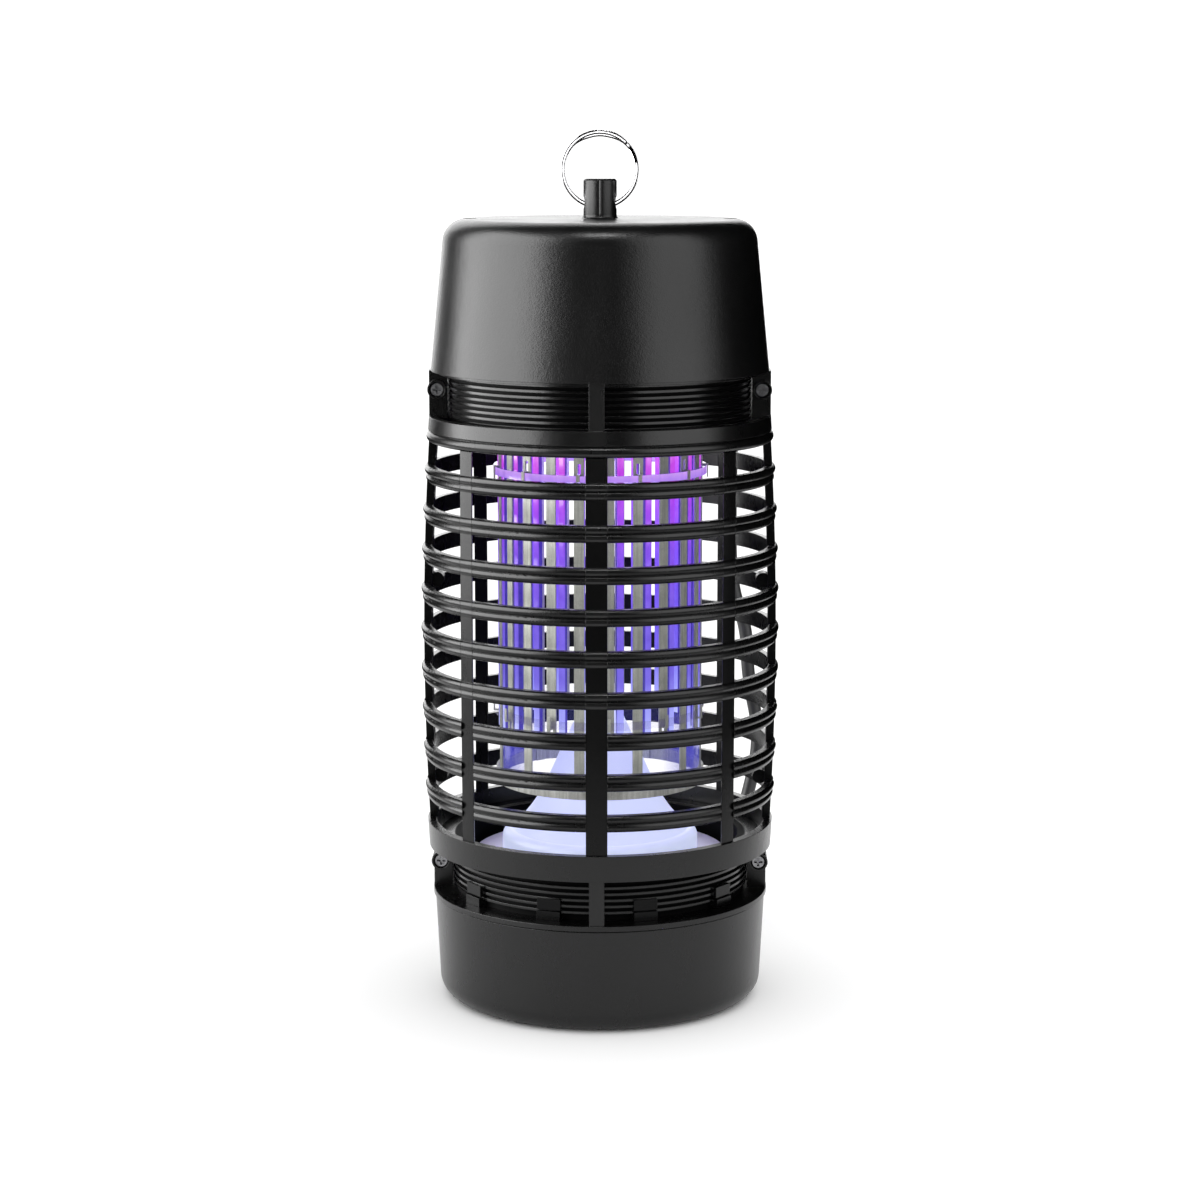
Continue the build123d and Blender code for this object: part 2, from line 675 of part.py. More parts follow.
# ---- strip grid and its clear insulators ----
STRIP_STEP = 360 / STRIP_COUNT
OUTER_FACE = STRIP_RADIUS + STRIP_THICKNESS
RING_SEAT = sqrt(OUTER_FACE**2 + (STRIP_WIDTH / 2) ** 2)
RING_INNER = RING_SEAT + 0.05
RING_OUTER = RING_INNER + 1.3
SKIRT_INNER = 31.7
SKIRT_OUTER = STRIP_RADIUS - 0.1
ROD_TURN = -4.0
ROD_DEPTH = 2.2
ROD_WIDTH = 2.4
ROD_EDGE = 0.5
ROD_RADIUS = RING_INNER - 0.1 - ROD_DEPTH / 2
STRIP_TOP = 186.3
STRIP_FOOT = 92.2


def grid_strips(first, low, high, hook_level, hook_way):
    """Every second strip of the grid, with a tongue out of its middle hooked over an insulator ring."""
    tongue_reach = RING_OUTER + 0.1 + TONGUE_THICKNESS - STRIP_RADIUS
    with BuildPart() as strips:
        for number in range(first, STRIP_COUNT, 2):
            bearing = -90 + GRID_TURN + (number + 0.5) * STRIP_STEP
            with BuildSketch(Plane.XY.offset(low)):
                with PolarLocations(STRIP_RADIUS + STRIP_THICKNESS / 2, 1, start_angle=bearing):
                    Rectangle(STRIP_THICKNESS, STRIP_WIDTH)
            extrude(amount=high - low)
            # the slot that the tongue was bent out of
            with BuildSketch(Plane.XY.offset(hook_level + hook_way * TONGUE_THICKNESS)):
                with PolarLocations(STRIP_RADIUS + STRIP_THICKNESS / 2, 1, start_angle=bearing):
                    Rectangle(2 * STRIP_THICKNESS, TONGUE_WIDTH)
            extrude(amount=hook_way * TONGUE_SLOT, mode=Mode.SUBTRACT)
            with BuildSketch(Plane.XY.offset(hook_level)):
                with PolarLocations(STRIP_RADIUS + tongue_reach / 2, 1, start_angle=bearing):
                    Rectangle(tongue_reach, TONGUE_WIDTH)
            extrude(amount=hook_way * TONGUE_THICKNESS)
            with BuildSketch(Plane.XY.offset(hook_level + hook_way * TONGUE_THICKNESS)):
                with PolarLocations(RING_OUTER + 0.1 + TONGUE_THICKNESS / 2, 1, start_angle=bearing):
                    Rectangle(TONGUE_THICKNESS, TONGUE_WIDTH)
            extrude(amount=-hook_way * 4.4)
    return strips.part


with BuildPart() as lower_strips:
    add(grid_strips(1, GRID_RING_LOW, STRIP_TOP, UPPER_RING_HIGH, 1))
lower_strips.part.label = "lower_strips"
export_step(lower_strips.part, "parts/lower_strips.step")

with BuildPart() as upper_strips:
    add(grid_strips(0, STRIP_FOOT, DRUM_FLOOR - 0.2, HOOK_RING_LOW, -1))
upper_strips.part.label = "upper_strips"
export_step(upper_strips.part, "parts/upper_strips.step")

with BuildPart() as lower_grid_ring:
    add(hoop(RING_SEAT, RING_SEAT + 0.8, GRID_RING_LOW, GRID_RING_HIGH))
lower_grid_ring.part.label = "lower_grid_ring"
export_step(lower_grid_ring.part, "parts/lower_grid_ring.step")

with BuildPart() as upper_grid_ring:
    add(hoop(RING_SEAT, RING_SEAT + 0.8, DRUM_FLOOR - 2.4, DRUM_FLOOR - 0.2))
upper_grid_ring.part.label = "upper_grid_ring"
export_step(upper_grid_ring.part, "parts/upper_grid_ring.step")

with BuildPart() as upper_insulator:
    add(hoop(RING_INNER, RING_OUTER, UPPER_RING_LOW, UPPER_RING_HIGH))
upper_insulator.part.label = "upper_insulator"
export_step(upper_insulator.part, "parts/upper_insulator.step")

with BuildPart() as lower_insulator:
    add(hoop(RING_INNER, RING_OUTER, HOOK_RING_LOW, HOOK_RING_HIGH))
lower_insulator.part.label = "lower_insulator"
export_step(lower_insulator.part, "parts/lower_insulator.step")

with BuildPart() as insulator_skirt:
    add(hoop(SKIRT_INNER, SKIRT_OUTER, SKIRT_LOW, SKIRT_HIGH))
insulator_skirt.part.label = "insulator_skirt"
export_step(insulator_skirt.part, "parts/insulator_skirt.step")

with BuildPart() as insulator_rods:
    with BuildSketch(Plane.XY.offset(SKIRT_HIGH)):
        with PolarLocations(ROD_RADIUS, STRIP_COUNT, start_angle=-90 + ROD_TURN):
            RectangleRounded(ROD_DEPTH, ROD_WIDTH, ROD_EDGE)
    extrude(amount=DRUM_FLOOR - SKIRT_HIGH)
insulator_rods.part.label = "insulator_rods"
export_step(insulator_rods.part, "parts/insulator_rods.step")

# ---- reflector under the lamp: a bell-shaped hat on a flat pale ring ----
REFLECTOR_FOOT = 48.1
REFLECTOR_BASE_BORE = 24.0
REFLECTOR_BASE_RADIUS = 42.5
SPIDER_HUB_RADIUS = 31.0

with BuildPart() as reflector:
    with BuildSketch(Plane.XZ):
        with BuildLine():
            brow = Spline(
                (29.6, 56.8), (25.5, 60.8), (21.4, 66.4), (16.9, 75.0), (12.4, 85.0), (7.3, 96.2), (4.0, 105.4)
            )
            CenterArc((0, 105.4), 4.0, 0, 90)
            Line((0, 109.4), (0, 106.4))
            Line((0, 106.4), (1.8, 104.4))
            under = Spline(
                (1.8, 104.4), (5.2, 95.6), (10.2, 84.4), (14.7, 74.2), (19.4, 65.2), (23.9, 59.2), (28.0, 55.2)
            )
            Line(under @ 1, (30.0, 54.2))
            Line((30.0, 54.2), (31.2, 53.0))
            Line((31.2, 53.0), (31.2, REFLECTOR_FOOT))
            Line((31.2, REFLECTOR_FOOT), (33.0, REFLECTOR_FOOT))
            Line((33.0, REFLECTOR_FOOT), (33.0, 53.6))
            crown = ThreePointArc((33.0, 53.6), (32.1, 55.8), (29.8, 56.7))
            Line(crown @ 1, brow @ 0)
        make_face()
    revolve(axis=Axis.Z)
reflector.part.label = "reflector"
export_step(reflector.part, "parts/reflector.step")

with BuildPart() as reflector_base:
    add(hoop(REFLECTOR_BASE_BORE, REFLECTOR_BASE_RADIUS, REFLECTOR_FOOT - 2.0, REFLECTOR_FOOT))
reflector_base.part.label = "reflector_base"
export_step(reflector_base.part, "parts/reflector_base.step")

# ---- ribbed lower collar: insects drop between its spokes into the tray ----
SPIDER_LOW = 42.3
TAB_WIDTH = 8.0
TAB_REACH = 51.4
TAB_BEARINGS = (-144, -108, -72, -36, 36, 72, 108, 144)

with BuildPart() as lower_collar:
    add(hoop(COLLAR_RADIUS - 2, COLLAR_RADIUS, RIM_TOP, COLLAR_TOP))
    add(hoop(COLLAR_RADIUS - 2, 54.3, COLLAR_TOP - 2, COLLAR_TOP))
    for rib in range(COLLAR_RIBS):
        rib_low = COLLAR_FIRST_RIB + COLLAR_RIB_PITCH * rib
        add(hoop(COLLAR_RADIUS - 1, COLLAR_RIB_RADIUS, rib_low, rib_low + RIB_THICKNESS))
    # tabs round the foot, each in two leaves
    for bearing in TAB_BEARINGS:
        with BuildSketch(Plane.XY.offset(RIM_TOP)):
            with PolarLocations((COLLAR_RADIUS + TAB_REACH) / 2 - 0.25, 1, start_angle=bearing):
                Rectangle(TAB_REACH - COLLAR_RADIUS + 0.5, TAB_WIDTH)
        extrude(amount=3.0)
        with BuildSketch(Plane.XY.offset(RIM_TOP + 3.4)):
            with PolarLocations((COLLAR_RADIUS + TAB_REACH) / 2 - 0.5, 1, start_angle=bearing):
                Rectangle(TAB_REACH - COLLAR_RADIUS, TAB_WIDTH)
        extrude(amount=3.6)
lower_collar.part.label = "lower_collar"
export_step(lower_collar.part, "parts/lower_collar.step")

# hub ring on four spokes, which carries the reflector
with BuildPart() as reflector_spider:
    add(hoop(REFLECTOR_BASE_BORE, SPIDER_HUB_RADIUS, SPIDER_LOW, REFLECTOR_FOOT - 2.0))
    with BuildSketch(Plane.XY.offset(SPIDER_LOW)):
        with PolarLocations(38.3, 4, start_angle=45):
            Rectangle(16.4, 4.0)
    extrude(amount=REFLECTOR_FOOT - 2.0 - SPIDER_LOW)
reflector_spider.part.label = "reflector_spider"
export_step(reflector_spider.part, "parts/reflector_spider.step")

# ---- collecting tray: pulls straight down off the spigot ----
with BuildPart() as collecting_tray:
    with BuildSketch(Plane.XZ) as tray_outline:
        with BuildLine():
            Polyline((0, 0), (54.05, 0), (55.85, TRAY_TOP), (0, TRAY_TOP), close=True)
        make_face()
        fillet(tray_outline.vertices().group_by(Axis.Y)[0].sort_by(Axis.X)[-1], 6.5)
    revolve(axis=Axis.Z)
    with BuildSketch(Plane.XZ) as tray_hollow:
        with BuildLine():
            Polyline((0, 2.0), (52.15, 2.0), (53.85, TRAY_TOP + 1), (0, TRAY_TOP + 1), close=True)
        make_face()
        fillet(tray_hollow.vertices().group_by(Axis.Y)[0].sort_by(Axis.X)[-1], 4.5)
    revolve(axis=Axis.Z, mode=Mode.SUBTRACT)
collecting_tray.part.label = "collecting_tray"
export_step(collecting_tray.part, "parts/collecting_tray.step")

# ---- high-voltage leads from the driver board down to the two sets of strips ----
with BuildPart() as grid_leads:
    add(lead([(37.0, 8.0, DRIVER_LEVEL), (37.0, 8.0, 186.6), (35.4, 5.4, 183.6)], [2.0], 1.4))
    add(lead([(37.0, -8.0, DRIVER_LEVEL), (37.0, -8.0, 189.0), (36.1, -6.4, 187.4)], [1.5], 1.4))
grid_leads.part.label = "grid_leads"
export_step(grid_leads.part, "parts/grid_leads.step")

# ---- strain relief in the cap's outlet: neck, collar and taper ----
with BuildPart() as strain_relief:
    gland_start = Vector(0, 0, GLAND_LEVEL) + gland_way * 49.0
    with BuildSketch(Plane(gland_start, z_dir=gland_way)):
        Circle(4.1)
    extrude(amount=7.0)
    collar_start = Vector(0, 0, GLAND_LEVEL) + gland_way * 55.5
    with BuildSketch(Plane(collar_start, z_dir=gland_way)):
        Circle(5.4)
    extrude(amount=1.6)
    taper_start = Vector(0, 0, GLAND_LEVEL) + gland_way * 57.1
    taper_end = Vector(0, 0, GLAND_LEVEL) + gland_way * GLAND_TIP
    with BuildSketch(Plane(taper_start, z_dir=gland_way)):
        Circle(4.4)
    with BuildSketch(Plane(taper_end, z_dir=gland_way)):
        Circle(3.0)
    loft()
strain_relief.part.label = "strain_relief"
export_step(strain_relief.part, "parts/strain_relief.step")


# ---- mains cord ----
def largest_radii(points):
    """The largest arc that the two runs at each corner leave room for."""
    radii = []
    for before, corner, after in zip(points, points[1:], points[2:]):
        arriving = Vector(*corner) - Vector(*before)
        leaving = Vector(*after) - Vector(*corner)
        turn = radians(arriving.get_angle(leaving))
        radii.append(0.45 * min(arriving.length, leaving.length) / tan(turn / 2))
    return radii


def beside_gland(along, height):
    """A point straight out of the outlet at a distance from the axis."""
    return (along * gland_way.X, along * gland_way.Y, height)


COIL_OUTER = COIL_MID_RADIUS + COIL_TURNS_ACROSS * CORD_DIAMETER / 2
COIL_INNER = COIL_MID_RADIUS - COIL_TURNS_ACROSS * CORD_DIAMETER / 2
COIL_HEIGHT = COIL_LAYERS * CORD_DIAMETER
OUTER_TURN = COIL_OUTER - CORD_DIAMETER / 2
COIL_FRONT_Y = COIL_CENTRE[1] - OUTER_TURN

cord_route = [
    beside_gland(GLAND_TIP, GLAND_LEVEL),
    beside_gland(90.0, GLAND_LEVEL),
    beside_gland(102.1, 217.0),
    beside_gland(109.1, 204.9),
    (46.3, 99.0, 179.0),
    (45.9, 98.6, 150.0),
    (46.4, 98.0, 124.0),
    (52.4, 97.6, 108.0),
    (52.8, 98.0, 90.0),
    (57.6, 98.4, 68.0),
    (54.6, 97.4, 50.0),
    (49.4, 94.0, 32.6),
    (41.5, 90.0, 17.2),
    (29.5, 86.4, 6.4),
    (15.0, COIL_FRONT_Y, 2.6),
]
tail_route = [
    (0.0, COIL_FRONT_Y, 7.1),
    (-13.0, COIL_FRONT_Y, 6.2),
    (-25.2, COIL_FRONT_Y + 4.8, 4.4),
    (-34.6, COIL_FRONT_Y + 14.0, 4.4),
    (-39.6, COIL_FRONT_Y + 26.0, PLUG_HEIGHT / 2),
    (-39.6, COIL_FRONT_Y + 38.8, PLUG_HEIGHT / 2),
]


def cord_tube(points):
    """A stretch of the cord, and a printed check of its arcs and its volume."""
    radii = largest_radii(points)
    tube = lead(points, radii, CORD_DIAMETER)
    with BuildLine() as middle:
        FilletPolyline(*points, radius=radii)
    length = sum(edge.length for edge in middle.edges())
    section = pi * CORD_DIAMETER**2 / 4
    print("cord arc radii:", [round(radius, 1) for radius in radii])
    print("cord stretch:", round(length, 1), "mm, volume ratio", round(tube.volume / (section * length), 4))
    return tube


with BuildPart() as mains_cord:
    add(cord_tube(cord_route))
mains_cord.part.label = "mains_cord"
export_step(mains_cord.part, "parts/mains_cord.step")

with BuildPart() as cord_tail:
    add(cord_tube(tail_route))
cord_tail.part.label = "cord_tail"
export_step(cord_tail.part, "parts/cord_tail.step")

with BuildPart() as cord_coil:
    with BuildSketch(Plane.XY):
        with Locations(COIL_CENTRE):
            Circle(COIL_OUTER)
            Circle(COIL_INNER, mode=Mode.SUBTRACT)
    extrude(amount=COIL_HEIGHT)
    fillet(cord_coil.edges().filter_by(GeomType.CIRCLE), 1.8)
cord_coil.part.label = "cord_coil"
export_step(cord_coil.part, "parts/cord_coil.step")
print("coil length:", COIL_LENGTH, "mm in 7 turns, four below and three above")

# ---- flat two-pin plug lying on the surface behind the object ----
plug_x = tail_route[-1][0]
plug_back = tail_route[-1][1]
plug_front = plug_back + PLUG_LENGTH
plug_middle = PLUG_HEIGHT / 2

with BuildPart() as plug_body:
    with BuildSketch(Plane.XY.offset(0.1)):
        with BuildLine():
            half = PLUG_WIDTH / 2
            Polyline(
                (plug_x - 4.0, plug_back),
                (plug_x + 4.0, plug_back),
                (plug_x + 5.0, plug_back + 10.0),
                (plug_x + half - 4.0, plug_front - 10.0),
                (plug_x + half, plug_front - 4.0),
                (plug_x + half, plug_front),
                (plug_x - half, plug_front),
                (plug_x - half, plug_front - 4.0),
                (plug_x - half + 4.0, plug_front - 10.0),
                (plug_x - 5.0, plug_back + 10.0),
                close=True,
            )
        make_face()
    extrude(amount=PLUG_HEIGHT - 0.2)
    chamfer(plug_body.faces().filter_by(Axis.Z).edges(), 1.3)
plug_body.part.label = "plug_body"
export_step(plug_body.part, "parts/plug_body.step")

with BuildPart() as plug_pins:
    for side in (-1, 1):
        foot = (plug_x + side * PLUG_PIN_SPACING / 2, plug_front, plug_middle)
        with BuildSketch(Plane(foot, z_dir=(0, 1, 0))):
            Circle(2.0)
        extrude(amount=PLUG_PIN_LENGTH)
    fillet(plug_pins.edges().filter_by(GeomType.CIRCLE).group_by(Axis.Y)[-1], 1.2)
plug_pins.part.label = "plug_pins"
export_step(plug_pins.part, "parts/plug_pins.step")
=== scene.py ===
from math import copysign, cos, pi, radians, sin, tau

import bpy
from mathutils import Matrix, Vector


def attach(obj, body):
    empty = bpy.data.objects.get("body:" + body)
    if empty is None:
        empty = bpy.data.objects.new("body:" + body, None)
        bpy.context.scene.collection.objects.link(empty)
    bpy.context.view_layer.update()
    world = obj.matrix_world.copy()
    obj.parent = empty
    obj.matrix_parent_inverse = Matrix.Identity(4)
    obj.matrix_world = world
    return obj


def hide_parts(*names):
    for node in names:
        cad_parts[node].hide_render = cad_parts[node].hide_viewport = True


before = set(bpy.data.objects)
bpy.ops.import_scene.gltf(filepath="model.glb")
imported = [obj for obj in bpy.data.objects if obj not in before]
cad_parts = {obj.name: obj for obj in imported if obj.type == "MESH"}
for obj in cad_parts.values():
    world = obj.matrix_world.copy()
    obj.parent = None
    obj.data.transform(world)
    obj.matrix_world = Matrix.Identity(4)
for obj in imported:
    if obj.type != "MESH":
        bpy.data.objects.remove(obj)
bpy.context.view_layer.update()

# Looks of the electric bug zapper: its cord, its small finished pieces, its materials and
# the studio. Metres, +Z up and -Y to the front, as in the CAD. Points laid out in
# millimetres go through mm().

scene = bpy.context.scene
scene.view_settings.view_transform = "Standard"


# ---------------------------------------------------------------- shared helpers
def add(name, data):
    """A new object in the scene."""
    made = bpy.data.objects.new(name, data)
    scene.collection.objects.link(made)
    return made


def facing(place, aim):
    """The rotation that points an object's -Z from one place to another."""
    return (Vector(aim) - Vector(place)).to_track_quat("-Z", "Y").to_euler()


def mm(*values):
    """A point given in millimetres."""
    return Vector(values) / 1000.0


def ease(value):
    """A smooth step from 0 to 1."""
    value = max(0.0, min(1.0, value))
    return value * value * (3.0 - 2.0 * value)


def eased(value, first, over):
    """A smooth step from 0 to 1 that starts at a value and is spread over a stretch."""
    return ease((value - first) / over)


def loft(name, rings, sharp):
    """A smooth mesh through rings of points, capped at both ends.

    Edges that turn by more than the sharp angle, in degrees, stay sharp.
    """
    count = len(rings[0])
    points = [point for ring in rings for point in ring]
    faces = []
    for row in range(len(rings) - 1):
        here, there = row * count, (row + 1) * count
        for column in range(count):
            beside = (column + 1) % count
            faces.append((here + column, here + beside, there + beside, there + column))
    faces.append(tuple(reversed(range(count))))
    faces.append(tuple(range(len(points) - count, len(points))))
    mesh = bpy.data.meshes.new(name)
    mesh.from_pydata([tuple(point) for point in points], [], faces)
    mesh.validate()
    for polygon in mesh.polygons:
        polygon.use_smooth = True
    mesh.set_sharp_from_angle(angle=radians(sharp))
    return add(name, mesh)


TURNED_SEGMENTS = 56


def turned_rings(origin, direction, profile):
    """Rings of a turned shape: profile is a list of (distance along, radius)."""
    direction = direction.normalized()
    side = direction.orthogonal().normalized()
    other = direction.cross(side)
    rings = []
    for along, radius in profile:
        ring = []
        for step in range(TURNED_SEGMENTS):
            angle = tau * step / TURNED_SEGMENTS
            outward = side * cos(angle) + other * sin(angle)
            ring.append(origin + direction * along + outward * radius)
        rings.append(ring)
    return rings


# ---------------------------------------------------------------- camera
CAMERA_PLACE = (0.01843, -0.95982, 0.2904)
CAMERA_AIM = (0.0, 0.0, 0.1341)

camera_data = bpy.data.cameras.new("camera")
camera_data.lens = 87.0
camera_data.sensor_width = 36.0
camera_data.clip_start = 0.02
camera_data.clip_end = 50.0
camera = add("camera", camera_data)
camera.location = CAMERA_PLACE
camera.rotation_euler = facing(CAMERA_PLACE, CAMERA_AIM)
scene.camera = camera


# ---------------------------------------------------------------- mains cord
CORD_DIAMETER = 0.0048
GLAND_BEARING = radians(25)
GLAND_LEVEL = 224.0
COIL_CENTRE = (9.0, 118.0)
TURN_POINTS = 16
TURNS_BELOW, TURNS_ABOVE = 4, 3
OUTER_TURN, INNER_TURN, TURN_STEP = 33.4, 19.0, 4.8
BOTTOM_LEVEL, TOP_LEVEL = 2.4, 7.2
# the degrees into a turn where the cord starts for the next one, and the degrees that this takes
STEP_IN, CLIMB, STEP_OUT = (230, 130), (190, 150), (50, 150)
LAST_ANGLE = 360 * (TURNS_BELOW + TURNS_ABOVE) - 0.01


def beside_gland(along, height):
    """A point straight out of the outlet, at a distance from the axis."""
    return (along * sin(GLAND_BEARING), along * cos(GLAND_BEARING), height)


def turn_at(angle):
    """Radius and level of the wound cord after turning through an angle in degrees."""
    if angle < 360 * TURNS_BELOW:
        turn, within = divmod(angle, 360)
        if turn == TURNS_BELOW - 1:
            return INNER_TURN, BOTTOM_LEVEL + (TOP_LEVEL - BOTTOM_LEVEL) * eased(within, *CLIMB)
        return OUTER_TURN - TURN_STEP * (turn + eased(within, *STEP_IN)), BOTTOM_LEVEL
    turn, within = divmod(min(angle, LAST_ANGLE) - 360 * TURNS_BELOW, 360)
    return INNER_TURN + TURN_STEP * (turn + eased(within, *STEP_OUT)), TOP_LEVEL


coil_points = []
for step in range(1, TURN_POINTS * (TURNS_BELOW + TURNS_ABOVE) + 1):
    degrees_turned = step * 360.0 / TURN_POINTS
    radius, level = turn_at(degrees_turned)
    reach = radius / cos(pi / TURN_POINTS)
    turned = radians(degrees_turned)
    coil_points.append((COIL_CENTRE[0] - reach * sin(turned),
                        COIL_CENTRE[1] - reach * cos(turned), level))

cord_points = [
    beside_gland(76.0, GLAND_LEVEL),
    beside_gland(90.0, GLAND_LEVEL),
    beside_gland(102.1, 217.0),
    beside_gland(109.1, 204.9),
    (46.3, 99.0, 179.0),
    (45.9, 98.6, 150.0),
    (46.4, 98.0, 124.0),
    (52.4, 97.6, 108.0),
    (52.8, 98.0, 90.0),
    (57.6, 98.4, 68.0),
    (54.6, 97.4, 50.0),
    (49.4, 94.0, 32.6),
    (41.5, 89.0, 17.2),
    (30.5, 84.2, 6.6),
    (19.0, 81.8, 2.5),
    (6.0, 82.6, 2.4),
    *coil_points,
    (1.0, 84.4, 7.2),
    (-13.0, 84.8, 6.2),
    (-25.2, 89.4, 4.4),
    (-34.6, 98.6, 4.4),
    (-39.6, 110.6, 6.85),
    (-39.6, 123.4, 6.85),
]

cord_curve = bpy.data.curves.new("power_lead", "CURVE")
cord_curve.dimensions = "3D"
cord_curve.resolution_u = 10
cord_curve.bevel_depth = 1.0
cord_curve.bevel_resolution = 6
cord_curve.use_fill_caps = True
cord_spline = cord_curve.splines.new("NURBS")
cord_spline.points.add(len(cord_points) - 1)
for knot, place in zip(cord_spline.points, cord_points):
    knot.co = (*mm(*place), 1.0)
    knot.radius = CORD_DIAMETER / 2
cord_spline.order_u = 3
cord_spline.use_endpoint_u = True
power_lead = add("power_lead", cord_curve)
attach(power_lead, "housing")
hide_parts("mains_cord", "cord_tail", "cord_coil")

# Strain relief: a collar against the cap, then a taper with grooves round it.
# Each pair is a distance out along the outlet, from the object's axis, and a radius.
RELIEF_COLLAR = ((0.0493, 0.0036), (0.0495, 0.0041), (0.0555, 0.0041), (0.0556, 0.0050),
                 (0.0559, 0.0053), (0.0567, 0.0053), (0.0570, 0.0050), (0.0571, 0.0043))
RELIEF_TIP = ((0.0756, 0.0030), (0.0759, 0.0028), (0.0760, 0.00245))
TAPER_START, TAPER_LENGTH = 0.0571, 0.0189
TAPER_RADIUS, TAPER_LOSS = 0.0044, 0.0014
GROOVES, FIRST_GROOVE, GROOVE_PITCH = 7, 0.0572, 0.0026
# one rib and the groove after it, as distances along and depths below the taper
GROOVE_SHAPE = ((0.0, 0.0), (0.0002, 0.0001), (0.0009, 0.0001), (0.0011, 0.0),
                (0.0013, 0.0007), (0.0021, 0.0007), (0.0023, 0.0))

relief_profile = list(RELIEF_COLLAR)
for groove in range(GROOVES):
    for along, depth in GROOVE_SHAPE:
        place = FIRST_GROOVE + groove * GROOVE_PITCH + along
        tapered = TAPER_RADIUS - (place - TAPER_START) / TAPER_LENGTH * TAPER_LOSS
        relief_profile.append((place, tapered - depth))
relief_profile += RELIEF_TIP
relief_way = Vector((sin(GLAND_BEARING), cos(GLAND_BEARING), 0.0))
relief_rings = turned_rings(mm(0.0, 0.0, GLAND_LEVEL), relief_way, relief_profile)
cord_boot = loft("cord_boot", relief_rings, sharp=28)
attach(cord_boot, "housing")
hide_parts("strain_relief")

# Plug: a flat body that swells from a grooved neck, with finger grips on its flanks.
# In millimetres. Widening and thickening start at one distance and are spread over the next.
# The outline is a superellipse, whose exponent grows from ROUND by SQUARER.
PLUG_X, PLUG_START, PLUG_LEVEL = -39.6, 123.4, 6.85
PLUG_LONG, PLUG_STATIONS, PLUG_SEGMENTS = 36.0, 72, 72
NECK_RADIUS, HALF_WIDE, HALF_HIGH = 4.0, 17.6, 6.65
WIDENING, THICKENING = (9.0, 19.0), (6.0, 14.0)
ROUND, SQUARER = 2.0, 3.2
NECK_END, NECK_PITCH, NECK_RIB, NECK_DEPTH = 10.0, 2.5, 1.45, 0.55
GRIP_START, GRIP_END, GRIP_PITCH, GRIP_DEPTH = 18.0, 31.0, 3.25, 0.55
EDGE_ROUNDING, EDGE_LENGTH = 0.9, 1.1


def plug_ring(along):
    """The plug's outline at a distance from its cord end: round there, squarer at the pins."""
    swell = eased(along, *WIDENING)
    half_wide = NECK_RADIUS + (HALF_WIDE - NECK_RADIUS) * swell
    half_high = NECK_RADIUS + (HALF_HIGH - NECK_RADIUS) * eased(along, *THICKENING)
    if along < NECK_END:
        groove = NECK_DEPTH if along % NECK_PITCH > NECK_RIB else 0.0
        half_wide -= groove
        half_high -= groove
    elif GRIP_START < along < GRIP_END:
        half_wide -= GRIP_DEPTH * (0.5 - 0.5 * cos(tau * (along - GRIP_START) / GRIP_PITCH))
    edge = EDGE_ROUNDING * (1.0 - ease(min(along, PLUG_LONG - along) / EDGE_LENGTH))
    power = 2.0 / (ROUND + SQUARER * swell)
    ring = []
    for step in range(PLUG_SEGMENTS):
        angle = tau * step / PLUG_SEGMENTS
        across = copysign(abs(cos(angle)) ** power, cos(angle)) * (half_wide - edge)
        upward = copysign(abs(sin(angle)) ** power, sin(angle)) * (half_high - edge)
        ring.append(mm(PLUG_X + across, PLUG_START + along, PLUG_LEVEL + upward))
    return ring


plug_rings = [plug_ring(PLUG_LONG * (station / PLUG_STATIONS))
              for station in range(PLUG_STATIONS + 1)]
moulded_plug = loft("moulded_plug", plug_rings, sharp=36)
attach(moulded_plug, "housing")
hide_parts("plug_body")


# ---------------------------------------------------------------- split hanging ring
# Just under two turns of flattened wire, side by side. Millimetres, and degrees round the ring.
# The wire crosses to its second turn from one angle, spread over the next.
RING_LEVEL, RING_RADIUS = 277.0, 12.15
WIRE_THICK, WIRE_HIGH, WIRE_CORNER = 0.84, 1.5, 0.26
CORNER_POINTS, CORNER_STEP = 5, 22.5
SPLIT_AT, WIRE_TURNED, WIRE_STEPS = 43.0, 688.0, 344
HALF_APART, CROSSING = 0.45, (326.0, 30.0)
SAG, SAG_START, SAG_GROWS, SAG_END, SAG_FADES = 0.8, 352.0, 44.0, 462.0, 40.0
END_SLIMMING, END_DEGREES = 0.35, 2.0

wire_section = []
for side_y, side_r, first in ((1, 1, 0), (-1, 1, 90), (-1, -1, 180), (1, -1, 270)):
    for step in range(CORNER_POINTS):
        angle = radians(first + step * CORNER_STEP)
        wire_section.append((side_y * (WIRE_THICK / 2 - WIRE_CORNER) + WIRE_CORNER * cos(angle),
                             side_r * (WIRE_HIGH / 2 - WIRE_CORNER) + WIRE_CORNER * sin(angle)))


def wire_ring(turned):
    """The wire's section after a number of degrees. Its second turn starts with a little sag."""
    bearing = radians(SPLIT_AT + turned)
    depth = HALF_APART * (2.0 * eased(turned, *CROSSING) - 1.0)
    sag = SAG * eased(turned, SAG_START, SAG_GROWS) * ease((SAG_END - turned) / SAG_FADES)
    slim = 1.0 - END_SLIMMING * (1.0 - ease(min(turned, WIRE_TURNED - turned) / END_DEGREES))
    ring = []
    for across, outward in wire_section:
        reach = RING_RADIUS - sag + outward * slim
        ring.append(mm(reach * cos(bearing), depth + across * slim,
                       RING_LEVEL + reach * sin(bearing)))
    return ring


wire_rings = [wire_ring(WIRE_TURNED * step / WIRE_STEPS) for step in range(WIRE_STEPS + 1)]
split_ring = loft("split_ring", wire_rings, sharp=40)
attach(split_ring, "ring")
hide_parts("hanging_ring")


# ---------------------------------------------------------------- materials
NOISE_LOW, NOISE_HIGH = 0.3, 0.7    # most of a noise texture lies between these
WHITE = (1.0, 1.0, 1.0)


def grey(level):
    return (level, level, level)


